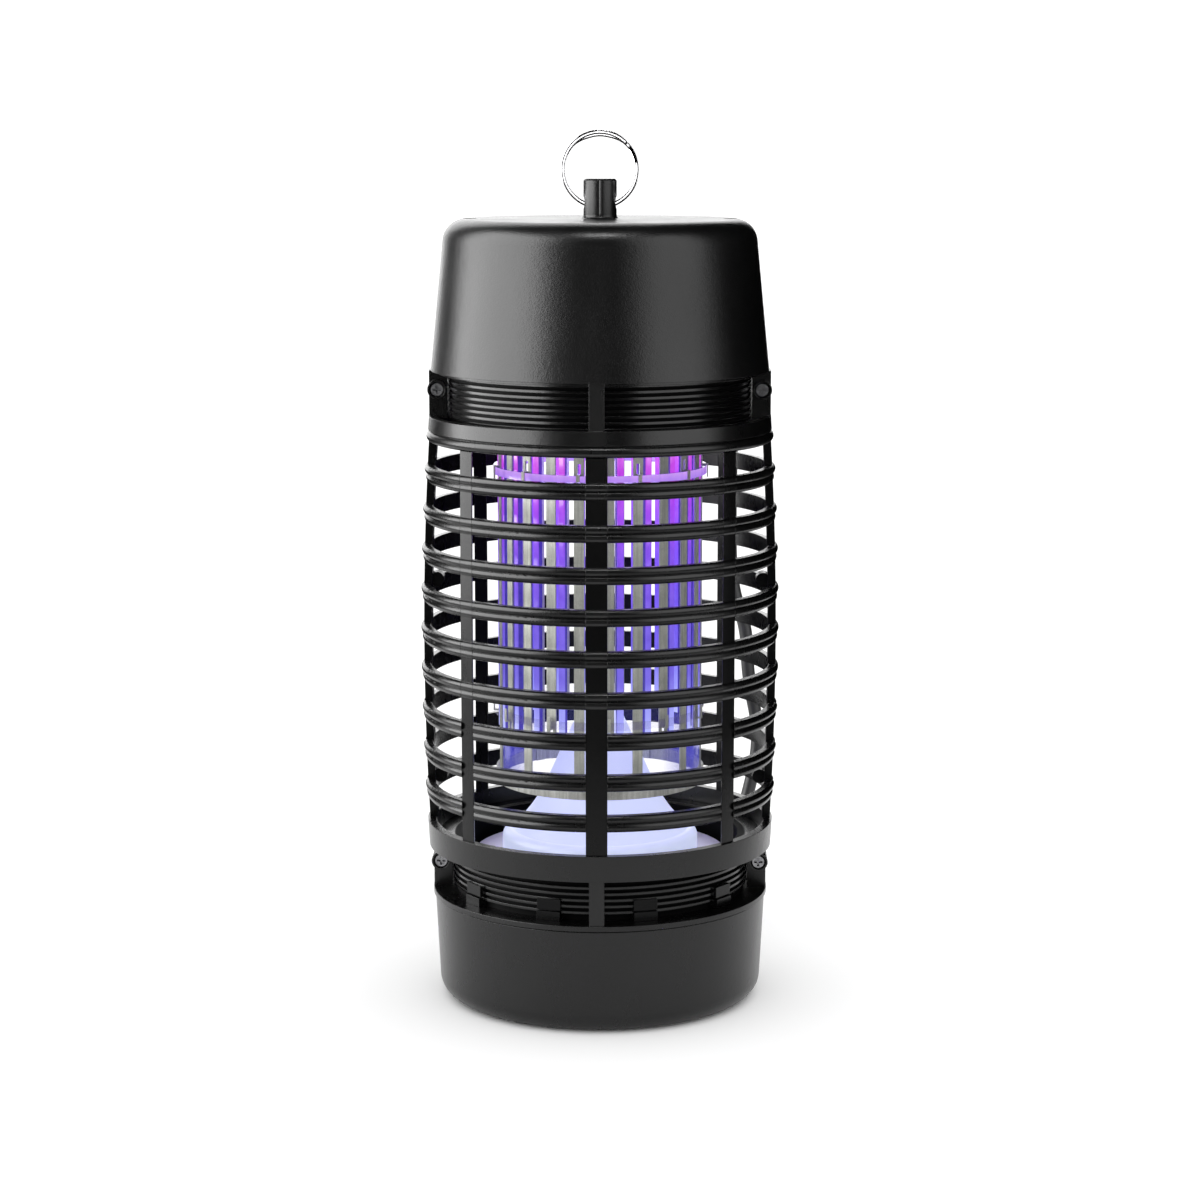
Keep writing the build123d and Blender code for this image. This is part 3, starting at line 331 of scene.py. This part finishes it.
class Finish:
    """A node material put together one effect at a time."""

    def __init__(self, name):
        self.material = bpy.data.materials.new(name)
        self.material.use_nodes = True
        self.tree = self.material.node_tree
        self.shader = self.tree.nodes["Principled BSDF"]
        self.place = self.node("ShaderNodeTexCoord").outputs["Object"]

    def node(self, kind, **settings):
        made = self.tree.nodes.new(kind)
        for key, value in settings.items():
            setattr(made, key, value)
        return made

    def link(self, source, target):
        self.tree.links.new(source, target)

    def into(self, socket, source):
        self.link(source, self.shader.inputs[socket])

    def set(self, **values):
        """Sets sockets of the shader by name, with _ for a space."""
        for key, value in values.items():
            self.shader.inputs[key.replace("_", " ")].default_value = value

    def give(self, socket, value):
        """Links a source to a node's socket, or sets the socket to a number or a colour."""
        if isinstance(value, (int, float)):
            socket.default_value = value
        elif isinstance(value, tuple):
            socket.default_value = (*value, 1.0)
        else:
            self.link(value, socket)

    def stretched(self, x, y, z):
        """The place on the object with its axes scaled, for a grain that runs one way."""
        mapping = self.node("ShaderNodeMapping")
        mapping.inputs["Scale"].default_value = (x, y, z)
        self.link(self.place, mapping.inputs["Vector"])
        return mapping.outputs["Vector"]

    def noise(self, scale, detail=3.0, rough=0.55, place=None):
        made = self.node("ShaderNodeTexNoise")
        made.inputs["Scale"].default_value = scale
        made.inputs["Detail"].default_value = detail
        made.inputs["Roughness"].default_value = rough
        self.link(place or self.place, made.inputs["Vector"])
        return made.outputs["Fac"]

    def ramp(self, source, *stops):
        """A colour ramp: stops are (position, (r, g, b))."""
        made = self.node("ShaderNodeValToRGB")
        elements = made.color_ramp.elements
        while len(elements) < len(stops):
            elements.new(0.5)
        for element, (position, colour) in zip(elements, stops):
            element.position = position
            element.color = (*colour, 1.0)
        self.link(source, made.inputs["Fac"])
        return made.outputs["Color"]

    def mottled(self, noise, dark, light):
        """A colour that wanders between two as a noise does."""
        return self.ramp(noise, (NOISE_LOW, dark), (NOISE_HIGH, light))

    def base(self, noise, dark, light):
        """Gives the surface a colour that wanders between two as a noise does."""
        self.into("Base Color", self.mottled(noise, dark, light))

    def spread(self, source, low, high, to_low, to_high):
        """Maps a value from one range to another."""
        made = self.node("ShaderNodeMapRange")
        for socket, value in (("From Min", low), ("From Max", high),
                              ("To Min", to_low), ("To Max", to_high)):
            made.inputs[socket].default_value = value
        self.link(source, made.inputs["Value"])
        return made.outputs["Result"]

    def varied(self, noise, low, high):
        """A value that wanders between two as a noise does."""
        return self.spread(noise, NOISE_LOW, NOISE_HIGH, low, high)

    def maths(self, operation, first, second=0.0):
        made = self.node("ShaderNodeMath", operation=operation)
        self.give(made.inputs[0], first)
        self.give(made.inputs[1], second)
        return made.outputs["Value"]

    def tint(self, factor, first, second):
        """One colour multiplied into another by a factor."""
        made = self.node("ShaderNodeMix", data_type="RGBA", blend_type="MULTIPLY")
        # inputs 6 and 7 and output 2 are the node's colour sockets
        self.give(made.inputs[0], factor)
        self.give(made.inputs[6], first)
        self.give(made.inputs[7], second)
        return made.outputs[2]

    def bump(self, *layers, edge=0.0):
        """Bumps from (height, strength, distance) layers, on edges softened by a radius."""
        below = None
        if edge:
            softened = self.node("ShaderNodeBevel", samples=4)
            softened.inputs["Radius"].default_value = edge
            below = softened.outputs["Normal"]
        for height, strength, distance in layers:
            made = self.node("ShaderNodeBump")
            made.inputs["Strength"].default_value = strength
            made.inputs["Distance"].default_value = distance
            self.link(height, made.inputs["Height"])
            if below is not None:
                self.link(below, made.inputs["Normal"])
            below = made.outputs["Normal"]
        self.into("Normal", below)

    def part(self, axis, vector=None):
        """One coordinate of the place on the object, or of a given vector."""
        made = self.node("ShaderNodeSeparateXYZ")
        self.link(vector or self.place, made.inputs["Vector"])
        return made.outputs[axis]

    def normal(self):
        return self.node("ShaderNodeNewGeometry").outputs["Normal"]

    def level(self):
        """The place on the object with its height left out."""
        flat = self.node("ShaderNodeVectorMath", operation="MULTIPLY")
        flat.inputs[1].default_value = (1.0, 1.0, 0.0)
        self.link(self.place, flat.inputs[0])
        return flat.outputs["Vector"]

    def from_axis(self):
        """The distance from the vertical axis, in metres."""
        length = self.node("ShaderNodeVectorMath", operation="LENGTH")
        self.link(self.level(), length.inputs[0])
        return length.outputs["Value"]

    def facing_out(self):
        """How squarely the surface faces the vertical axis or away from it, from 0 to 1."""
        outward = self.node("ShaderNodeVectorMath", operation="NORMALIZE")
        self.link(self.level(), outward.inputs[0])
        dot = self.node("ShaderNodeVectorMath", operation="DOT_PRODUCT")
        self.link(outward.outputs["Vector"], dot.inputs[0])
        self.link(self.normal(), dot.inputs[1])
        return self.maths("ABSOLUTE", dot.outputs["Value"])


# The cage's outline in part.py: radius at the waist, radius of the bulge, height of the waist.
CAGE_RADIUS, CAGE_BOW, CAGE_WAIST = 0.0599, 1.12, 0.118
# The posts' sunk faces end and the bars' beads begin between these depths below that outline; the
# posts' painted shade fades out across them.
SUNK_FACE, BEAD_FACE = -0.00088, -0.00072
# The hanging post's parting line, and the heights between which it starts above the cap.
SEAM_X, SEAM_HALF_WIDTH = 0.0002, 0.00035
POST_FOOT = (0.2618, 0.2626)


def painted_valley_shade(finish, rough, valley, crest):
    """Polished crests on ribs, with painted shade: the gloss is darkened in the valleys between,
    where shade falls, and on tabs well outside. The valleys are rougher too.
    """
    depth = crest - valley
    risen = finish.spread(finish.from_axis(), valley, valley + 4.0 * depth, 0.0, 1.0)
    # painted shade: a dark specular tint in the valleys and on the tabs
    finish.into("Specular Tint", finish.ramp(risen, (0.0, grey(0.03)), (0.3, WHITE), (0.5, WHITE),
                                             (0.75, grey(0.30))))
    return finish.maths("ADD", rough, finish.spread(risen, 0.0, 0.25, 0.45, 0.0))


def painted_underside_shade(finish):
    """Painted shade: the gloss of the bars' downward-facing faces is darkened."""
    upward = finish.spread(finish.part("Z", finish.normal()), -0.60, -0.05, 0.0, 1.0)
    finish.into("Specular Tint", finish.ramp(upward, (0.0, grey(0.25)), (1.0, WHITE)))


def painted_sunk_face_shade(finish):
    """Painted shade: the posts' sunk faces get a duller gloss than the bars' beads that cross them.
    """
    off_waist = finish.maths("SUBTRACT", finish.part("Z"), CAGE_WAIST)
    squared = finish.maths("MULTIPLY", off_waist, off_waist)
    sagitta = finish.maths("MULTIPLY", squared, 0.5 / CAGE_BOW)
    proud = finish.maths("ADD", finish.maths("SUBTRACT", finish.from_axis(), CAGE_RADIUS), sagitta)
    bead = finish.spread(proud, SUNK_FACE, BEAD_FACE, 0.0, 1.0)
    finish.into("Specular Tint", finish.ramp(bead, (0.0, grey(0.46)), (1.0, WHITE)))


def post_seam(finish):
    """The height of the parting line down the hanging post."""
    off_seam = finish.maths("ABSOLUTE", finish.maths("SUBTRACT", finish.part("X"), SEAM_X))
    line = finish.spread(off_seam, 0.0, SEAM_HALF_WIDTH, 1.0, 0.0)
    return finish.maths("MULTIPLY", line, finish.spread(finish.part("Z"), *POST_FOOT, 0.0, 1.0))


# the black plastics' clouding runs from the first colour to one of the others
BLACK = (0.0012, 0.0012, 0.0013)
CAGE_LIGHT = (0.0022, 0.0022, 0.0024)
RIB_LIGHT = (0.0024, 0.0024, 0.0025)
CAP_LIGHT = (0.0024, 0.0024, 0.0026)


def black_plastic(name, light, roughness, grain, valleys=None, seam=False, special=None):
    """Moulded black plastic: fine grain, faint clouding, handling smears and soft edges."""
    finish = Finish(name)
    finish.set(IOR=1.42)
    finish.base(finish.noise(38.0, 4.0), BLACK, light)
    smear = finish.noise(60.0, 5.0, 0.65, finish.stretched(1.0, 1.0, 0.35))
    rough = finish.varied(smear, roughness - 0.035, roughness + 0.045)
    layers = [(finish.noise(1900.0, 2.0, 0.6), grain, 0.00006),
              (finish.noise(520.0, 2.0), grain * 0.45, 0.0001)]
    # painted shade in the gloss of the ribs' valleys and tabs
    if valleys:
        rough = painted_valley_shade(finish, rough, *valleys)
    if seam:
        layers.append((post_seam(finish), 0.8, 0.00025))
    # a special step paints shade into the gloss: the bars' undersides, or the posts' sunk faces
    if special:
        special(finish)
    finish.into("Roughness", rough)
    finish.bump(*layers, edge=0.0003)
    return finish.material


def chrome_plate():
    """Bright plated wire with fine scratches."""
    finish = Finish("chrome_plate")
    finish.set(Metallic=1.0)
    finish.base(finish.noise(300.0), (0.84, 0.84, 0.85), (0.93, 0.93, 0.94))
    scratches = finish.noise(900.0, 4.0, 0.7, finish.stretched(1.0, 6.0, 1.0))
    finish.into("Roughness", finish.varied(scratches, 0.05, 0.14))
    finish.bump((scratches, 0.10, 0.00002))
    return finish.material


def plated_steel():
    """Dark plated screws with turning marks."""
    finish = Finish("plated_steel")
    finish.set(Metallic=1.0)
    finish.base(finish.noise(700.0), (0.20, 0.20, 0.21), (0.36, 0.36, 0.37))
    turning = finish.noise(2600.0, 3.0)
    finish.into("Roughness", finish.varied(turning, 0.28, 0.46))
    finish.bump((turning, 0.25, 0.00004))
    return finish.material


def galvanised_sheet(name, dark, light, roughness, spangle_scale):
    """Zinc-coated steel sheet: fine grain with drawn streaks and a faint spangle."""
    finish = Finish(name)
    finish.set(Metallic=0.45)
    spangle = finish.node("ShaderNodeTexVoronoi")
    spangle.inputs["Scale"].default_value = spangle_scale
    finish.link(finish.place, spangle.inputs["Vector"])
    streaks = finish.noise(900.0, 4.0, 0.65, finish.stretched(1.0, 1.0, 0.05))
    grain = finish.noise(2600.0, 3.0, 0.7)
    sheet = finish.ramp(streaks, (0.32, dark), (0.68, light))
    sheet = finish.tint(0.5, sheet, finish.mottled(grain, (0.55, 0.55, 0.53), WHITE))
    flakes = finish.ramp(spangle.outputs["Color"], (0.2, (0.7, 0.7, 0.68)), (0.8, WHITE))
    finish.into("Base Color", finish.tint(0.3, sheet, flakes))
    finish.into("Roughness", finish.varied(grain, roughness - 0.08, roughness + 0.08))
    finish.bump((grain, 0.5, 0.00006), (streaks, 0.25, 0.00008), edge=0.00012)
    return finish.material


# painted shade: the deep blues that the clear plastic's flanks turn to
FLANK_SHADE_BLUE, ROD_FLANK_SHADE_BLUE = (0.02, 0.02, 0.16), (0.05, 0.03, 0.30)
# how squarely the clear plastic faces outwards where it counts as a flank, in full painted shade,
# and as a face, with none
FLANK, FACE = 0.35, 0.75
# the distances to the side between which the skirt fills with painted glow
SIDE_GLOW_START, SIDE_GLOW_FULL = 0.020, 0.031

# how the clear plastic's painted glow runs with height, from its lowest point to its highest
ROD_GLOW = (
    (0.00, (0.52, 0.58, 0.98)),
    (0.08, (0.34, 0.36, 0.92)),
    (0.22, (0.14, 0.10, 0.68)),
    (0.45, (0.15, 0.07, 0.70)),
    (0.66, (0.20, 0.04, 0.76)),
    (0.80, (0.36, 0.03, 0.82)),
    (0.92, (0.58, 0.03, 0.78)),
    (1.00, (0.70, 0.10, 0.80)),
)
TOP_RING_GLOW = ((0.0, (0.42, 0.20, 0.92)), (1.0, (0.66, 0.36, 0.96)))
LOW_RING_GLOW = ((0.0, (0.22, 0.14, 0.62)), (1.0, (0.10, 0.09, 0.26)))
SKIRT_GLOW = ((0.0, (0.035, 0.04, 0.55)), (1.0, (0.03, 0.035, 0.45)))


def glowing(name, stops, low, high, strength, shaded_flank_colour=FLANK_SHADE_BLUE, alpha=1.0, side_alpha=None):
    """Clear plastic with the lamp's light painted on as a glow that runs with height; painted shade
    leaves its flanks deep blue.
    """
    finish = Finish(name)
    level = finish.spread(finish.part("Z"), low, high, 0.0, 1.0)
    wander = finish.noise(240.0, 3.0)
    level = finish.maths("ADD", level, finish.varied(wander, -0.025, 0.025))
    # painted light: the lamp's light in the plastic, as a glow by height
    glow = finish.ramp(level, *stops)
    # painted shade: flanks that face sideways turn deep blue
    flank_shade_mask = finish.ramp(finish.facing_out(), (FLANK, shaded_flank_colour), (FACE, WHITE))
    streaks = finish.noise(420.0, 3.0, 0.6, finish.stretched(1.0, 1.0, 0.06))
    glow = finish.tint(1.0, glow, flank_shade_mask)
    glow = finish.tint(0.45, glow, finish.mottled(streaks, (0.5, 0.45, 0.7), WHITE))
    finish.into("Emission Color", glow)
    finish.base(wander, (0.10, 0.08, 0.22), (0.16, 0.14, 0.30))
    finish.set(Emission_Strength=strength, IOR=1.49, Alpha=alpha, Coat_Weight=0.3,
               Coat_Roughness=0.08)
    if side_alpha:
        # painted light: clear in front and behind, and full of painted glow at the left and right,
        # where from the front the wall is seen edge-on
        sideways = finish.maths("ABSOLUTE", finish.part("X"))
        finish.into("Alpha", finish.spread(sideways, SIDE_GLOW_START, SIDE_GLOW_FULL, alpha, side_alpha))
    finish.into("Roughness", finish.varied(streaks, 0.10, 0.22))
    finish.bump((finish.noise(700.0, 2.0), 0.15, 0.00005))
    return finish.material


def lens_clear():
    """The clear window under the lamp's LEDs, bright violet, with their light painted on as a glow.
    """
    finish = Finish("lamp_lens_clear")
    finish.base(finish.noise(200.0), (0.45, 0.30, 0.80), (0.62, 0.45, 0.95))
    finish.set(Emission_Color=(0.50, 0.22, 1.0, 1.0), Emission_Strength=1.4,
               Roughness=0.12, Alpha=0.6)
    finish.bump((finish.noise(900.0), 0.1, 0.00005))
    return finish.material


REFLECTOR_FOOT, REFLECTOR_TOP = 0.0481, 0.109


def frosted_reflector():
    """Frosted plastic with the lamp's light painted on as a pale blue glow, whitest a little above
    its foot.
    """
    finish = Finish("frosted_reflector")
    level = finish.spread(finish.part("Z"), REFLECTOR_FOOT, REFLECTOR_TOP, 0.0, 1.0)
    cloud = finish.noise(160.0, 4.0)
    level = finish.maths("ADD", level, finish.varied(cloud, -0.03, 0.03))
    surface = finish.ramp(level, (0.0, (0.34, 0.38, 0.50)), (1.0, (0.38, 0.41, 0.54)))
    glow = finish.ramp(level, (0.0, (0.62, 0.68, 0.97)), (0.15, (0.70, 0.76, 1.0)),
                       (1.0, (0.66, 0.72, 1.0)))
    finish.into("Base Color", surface)
    finish.into("Emission Color", glow)
    finish.set(Emission_Strength=0.70, IOR=1.46)
    finish.into("Roughness", finish.varied(cloud, 0.30, 0.42))
    finish.bump((finish.noise(1500.0, 2.0), 0.3, 0.00005))
    return finish.material


def white_base():
    """Plain white plastic with a fine grain."""
    finish = Finish("white_base_ring")
    finish.base(finish.noise(120.0, 4.0), (0.80, 0.79, 0.82), (0.88, 0.87, 0.90))
    finish.into("Roughness", finish.varied(finish.noise(300.0), 0.36, 0.48))
    finish.bump((finish.noise(1600.0, 2.0), 0.3, 0.00005))
    return finish.material


def board_part(name, first, second, roughness, grain=900.0, metallic=0.0):
    """A plain moulded or coated component with a little colour variation and grain."""
    finish = Finish(name)
    finish.set(Metallic=metallic)
    cloud = finish.noise(grain * 0.3, 3.0)
    finish.base(cloud, first, second)
    finish.into("Roughness", finish.varied(cloud, roughness - 0.06, roughness + 0.06))
    finish.bump((finish.noise(grain * 2.0, 2.0), 0.3, 0.00005))
    return finish.material


def cord_sheath():
    """Soft dark grey cord and plug plastic."""
    finish = Finish("cord_sheath")
    cloud = finish.noise(90.0, 4.0)
    finish.base(cloud, (0.016, 0.016, 0.017), (0.026, 0.026, 0.027))
    finish.into("Roughness", finish.varied(finish.noise(500.0, 3.0), 0.42, 0.56))
    finish.bump((finish.noise(2200.0, 2.0), 0.4, 0.00005), (cloud, 0.15, 0.0002))
    return finish.material


def dress(thing, material):
    """Gives every material slot of an object the same material."""
    if not thing.material_slots:
        thing.data.materials.append(material)
    for slot in thing.material_slots:
        slot.material = material


NODE_MATERIALS = (
    (black_plastic("black_cage", CAGE_LIGHT, 0.28, 0.45),
     ("front_upper_band", "rear_upper_band", "front_lower_band", "rear_lower_band",
      "collecting_tray")),
    # the bars' undersides get painted shade
    (black_plastic("black_bars", CAGE_LIGHT, 0.26, 0.45, special=painted_underside_shade),
     ("front_slot_bars", "rear_slot_bars")),
    # the posts' sunk faces get painted shade
    (black_plastic("black_posts", CAGE_LIGHT, 0.28, 0.45, special=painted_sunk_face_shade),
     ("front_posts", "rear_posts")),
    (black_plastic("black_cap", CAP_LIGHT, 0.31, 0.9, seam=True),
     ("top_cap",)),
    (black_plastic("black_ribbed", RIB_LIGHT, 0.22, 0.3, valleys=(0.0494, 0.0499)),
     ("upper_drum", "reflector_spider")),
    (black_plastic("black_collar", RIB_LIGHT, 0.22, 0.3, valleys=(0.0488, 0.0494)),
     ("lower_collar",)),
    (plated_steel(),
     ("grille_screws", "cap_screws", "led_board_screws", "driver_board_screws")),
    (galvanised_sheet("galvanised_strip", (0.46, 0.47, 0.43), (0.70, 0.71, 0.66), 0.50, 420.0),
     ("lower_strips", "upper_strips")),
    (galvanised_sheet("galvanised_ring", (0.42, 0.425, 0.40), (0.68, 0.685, 0.66), 0.46, 900.0),
     ("lower_grid_ring", "upper_grid_ring")),
    (glowing("glowing_rods", ROD_GLOW, 0.092, 0.186, 1.0, shaded_flank_colour=ROD_FLANK_SHADE_BLUE),
     ("insulator_rods",)),
    (glowing("glowing_top_ring", TOP_RING_GLOW, 0.177, 0.180, 0.9),
     ("upper_insulator",)),
    (glowing("clear_low_ring", LOW_RING_GLOW, 0.0965, 0.0992, 0.35, alpha=0.12),
     ("lower_insulator",)),
    (glowing("clear_skirt", SKIRT_GLOW, 0.078, 0.092, 0.75, alpha=0.06, side_alpha=0.55),
     ("insulator_skirt",)),
    (lens_clear(),
     ("lamp_lens",)),
    (frosted_reflector(),
     ("reflector",)),
    (white_base(),
     ("reflector_base",)),
    (board_part("solder_mask", (0.010, 0.075, 0.030), (0.020, 0.11, 0.045), 0.32),
     ("led_board", "driver_board")),
    (board_part("led_package", (0.82, 0.80, 0.66), (0.90, 0.88, 0.78), 0.30),
     ("uv_leds",)),
    (board_part("component_sleeve", (0.012, 0.014, 0.030), (0.025, 0.028, 0.05), 0.34),
     ("transformer", "driver_capacitors", "driver_diodes")),
    (board_part("terminal_block", (0.03, 0.14, 0.04), (0.05, 0.19, 0.06), 0.42),
     ("mains_terminal",)),
    (board_part("lead_insulation", (0.16, 0.022, 0.014), (0.22, 0.035, 0.02), 0.40),
     ("mains_leads", "grid_leads")),
    (board_part("nickel_pins", (0.62, 0.59, 0.52), (0.76, 0.73, 0.66), 0.24, 1200.0, 1.0),
     ("plug_pins",)),
)
for material, nodes in NODE_MATERIALS:
    for node in nodes:
        dress(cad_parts[node], material)

sheath = cord_sheath()
for piece in (power_lead, cord_boot, moulded_plug):
    dress(piece, sheath)
dress(split_ring, chrome_plate())


# ---------------------------------------------------------------- studio
def panel(name, width, height, place, aim, material):
    """A flat upright panel that faces a point and shows only in gloss."""
    mesh = bpy.data.meshes.new(name)
    x, y = width / 2, height / 2
    mesh.from_pydata([(-x, -y, 0), (x, -y, 0), (x, y, 0), (-x, y, 0)], [], [(0, 1, 2, 3)])
    mesh.materials.append(material)
    made = add(name, mesh)
    made.location = place
    made.rotation_euler = facing(place, aim)
    made.visible_camera = False
    made.visible_diffuse = False
    made.visible_shadow = False
    made.visible_transmission = False


def area_light(name, shape, place, power):
    """An area light that isn't seen itself."""
    data = bpy.data.lights.new(name, "AREA")
    data.shape = shape
    data.energy = power
    made = add(name, data)
    made.location = place
    made.visible_camera = False
    return made


def softbox(name, width, height, place, aim, power):
    """A rectangular soft light that shows only in gloss."""
    made = area_light(name, "RECTANGLE", place, power)
    made.data.size, made.data.size_y = width, height
    made.rotation_euler = facing(place, aim)
    made.visible_diffuse = False


DISC_POINTS = 96


def disc(name, radius, level, centre=(0.0, 0.0)):
    """A flat round piece of matt white ground."""
    finish = Finish(name)
    finish.base(finish.noise(3.0), grey(0.955), grey(0.965))
    finish.set(Roughness=0.4, Specular_IOR_Level=0.0)
    mesh = bpy.data.meshes.new(name)
    angles = [tau * step / DISC_POINTS for step in range(DISC_POINTS)]
    edge = [(centre[0] + radius * cos(angle), centre[1] + radius * sin(angle), level)
            for angle in angles]
    mesh.from_pydata(edge, [], [tuple(range(DISC_POINTS))])
    mesh.materials.append(finish.material)
    made = add(name, mesh)
    return made


# The ground far off isn't mirrored in the plastic, as if a table's edge ended its reflection.
far_ground = disc("studio_floor", radius=6.0, level=-0.0004)
far_ground.visible_glossy = False
disc("studio_table", radius=0.42, level=-0.0002, centre=(-0.10, 0.05))

WORLD_STRENGTH = 1.35
world = bpy.data.worlds.new("studio")
scene.world = world
world.use_nodes = True
world.node_tree.nodes["Background"].inputs["Color"].default_value = (*WHITE, 1.0)
world.node_tree.nodes["Background"].inputs["Strength"].default_value = WORLD_STRENGTH
world.cycles_visibility.glossy = False

softbox("left_softbox", 1.36, 1.3, place=(-0.873, -0.218, 0.66), aim=(0.0, 0.0, 0.66), power=44.0)
softbox("right_softbox", 0.88, 1.3, place=(0.728, -0.529, 0.66), aim=(0.0, 0.0, 0.66), power=8.4)
softbox("edge_softbox", 0.30, 0.10, place=(0.02, -0.46, 1.0), aim=(0.0, 0.0, 0.25), power=2.6)

# the lamp's own light, from just under its lens
lamp_glow = area_light("lamp_glow", "DISK", place=(0.0, 0.0, 0.1875), power=0.045)
lamp_glow.data.size = 0.040
lamp_glow.data.color = (0.45, 0.34, 1.0)

# A wall behind, and a small card behind the camera for the flat face of the ring's wire to mirror.
panel_finish = Finish("studio_wall")
panel_finish.set(Base_Color=(0.9, 0.9, 0.9, 1.0), Emission_Color=(*WHITE, 1.0),
                 Emission_Strength=1.2)
panel("studio_wall", 1.75, 3.0, (-0.475, 2.2, 1.5), (-0.475, 0.0, 1.5), panel_finish.material)
panel("studio_card", 0.14, 0.12, (-0.02, -1.0, 0.262), (-0.02, 0.0, 0.262), panel_finish.material)


bpy.context.view_layer.update()
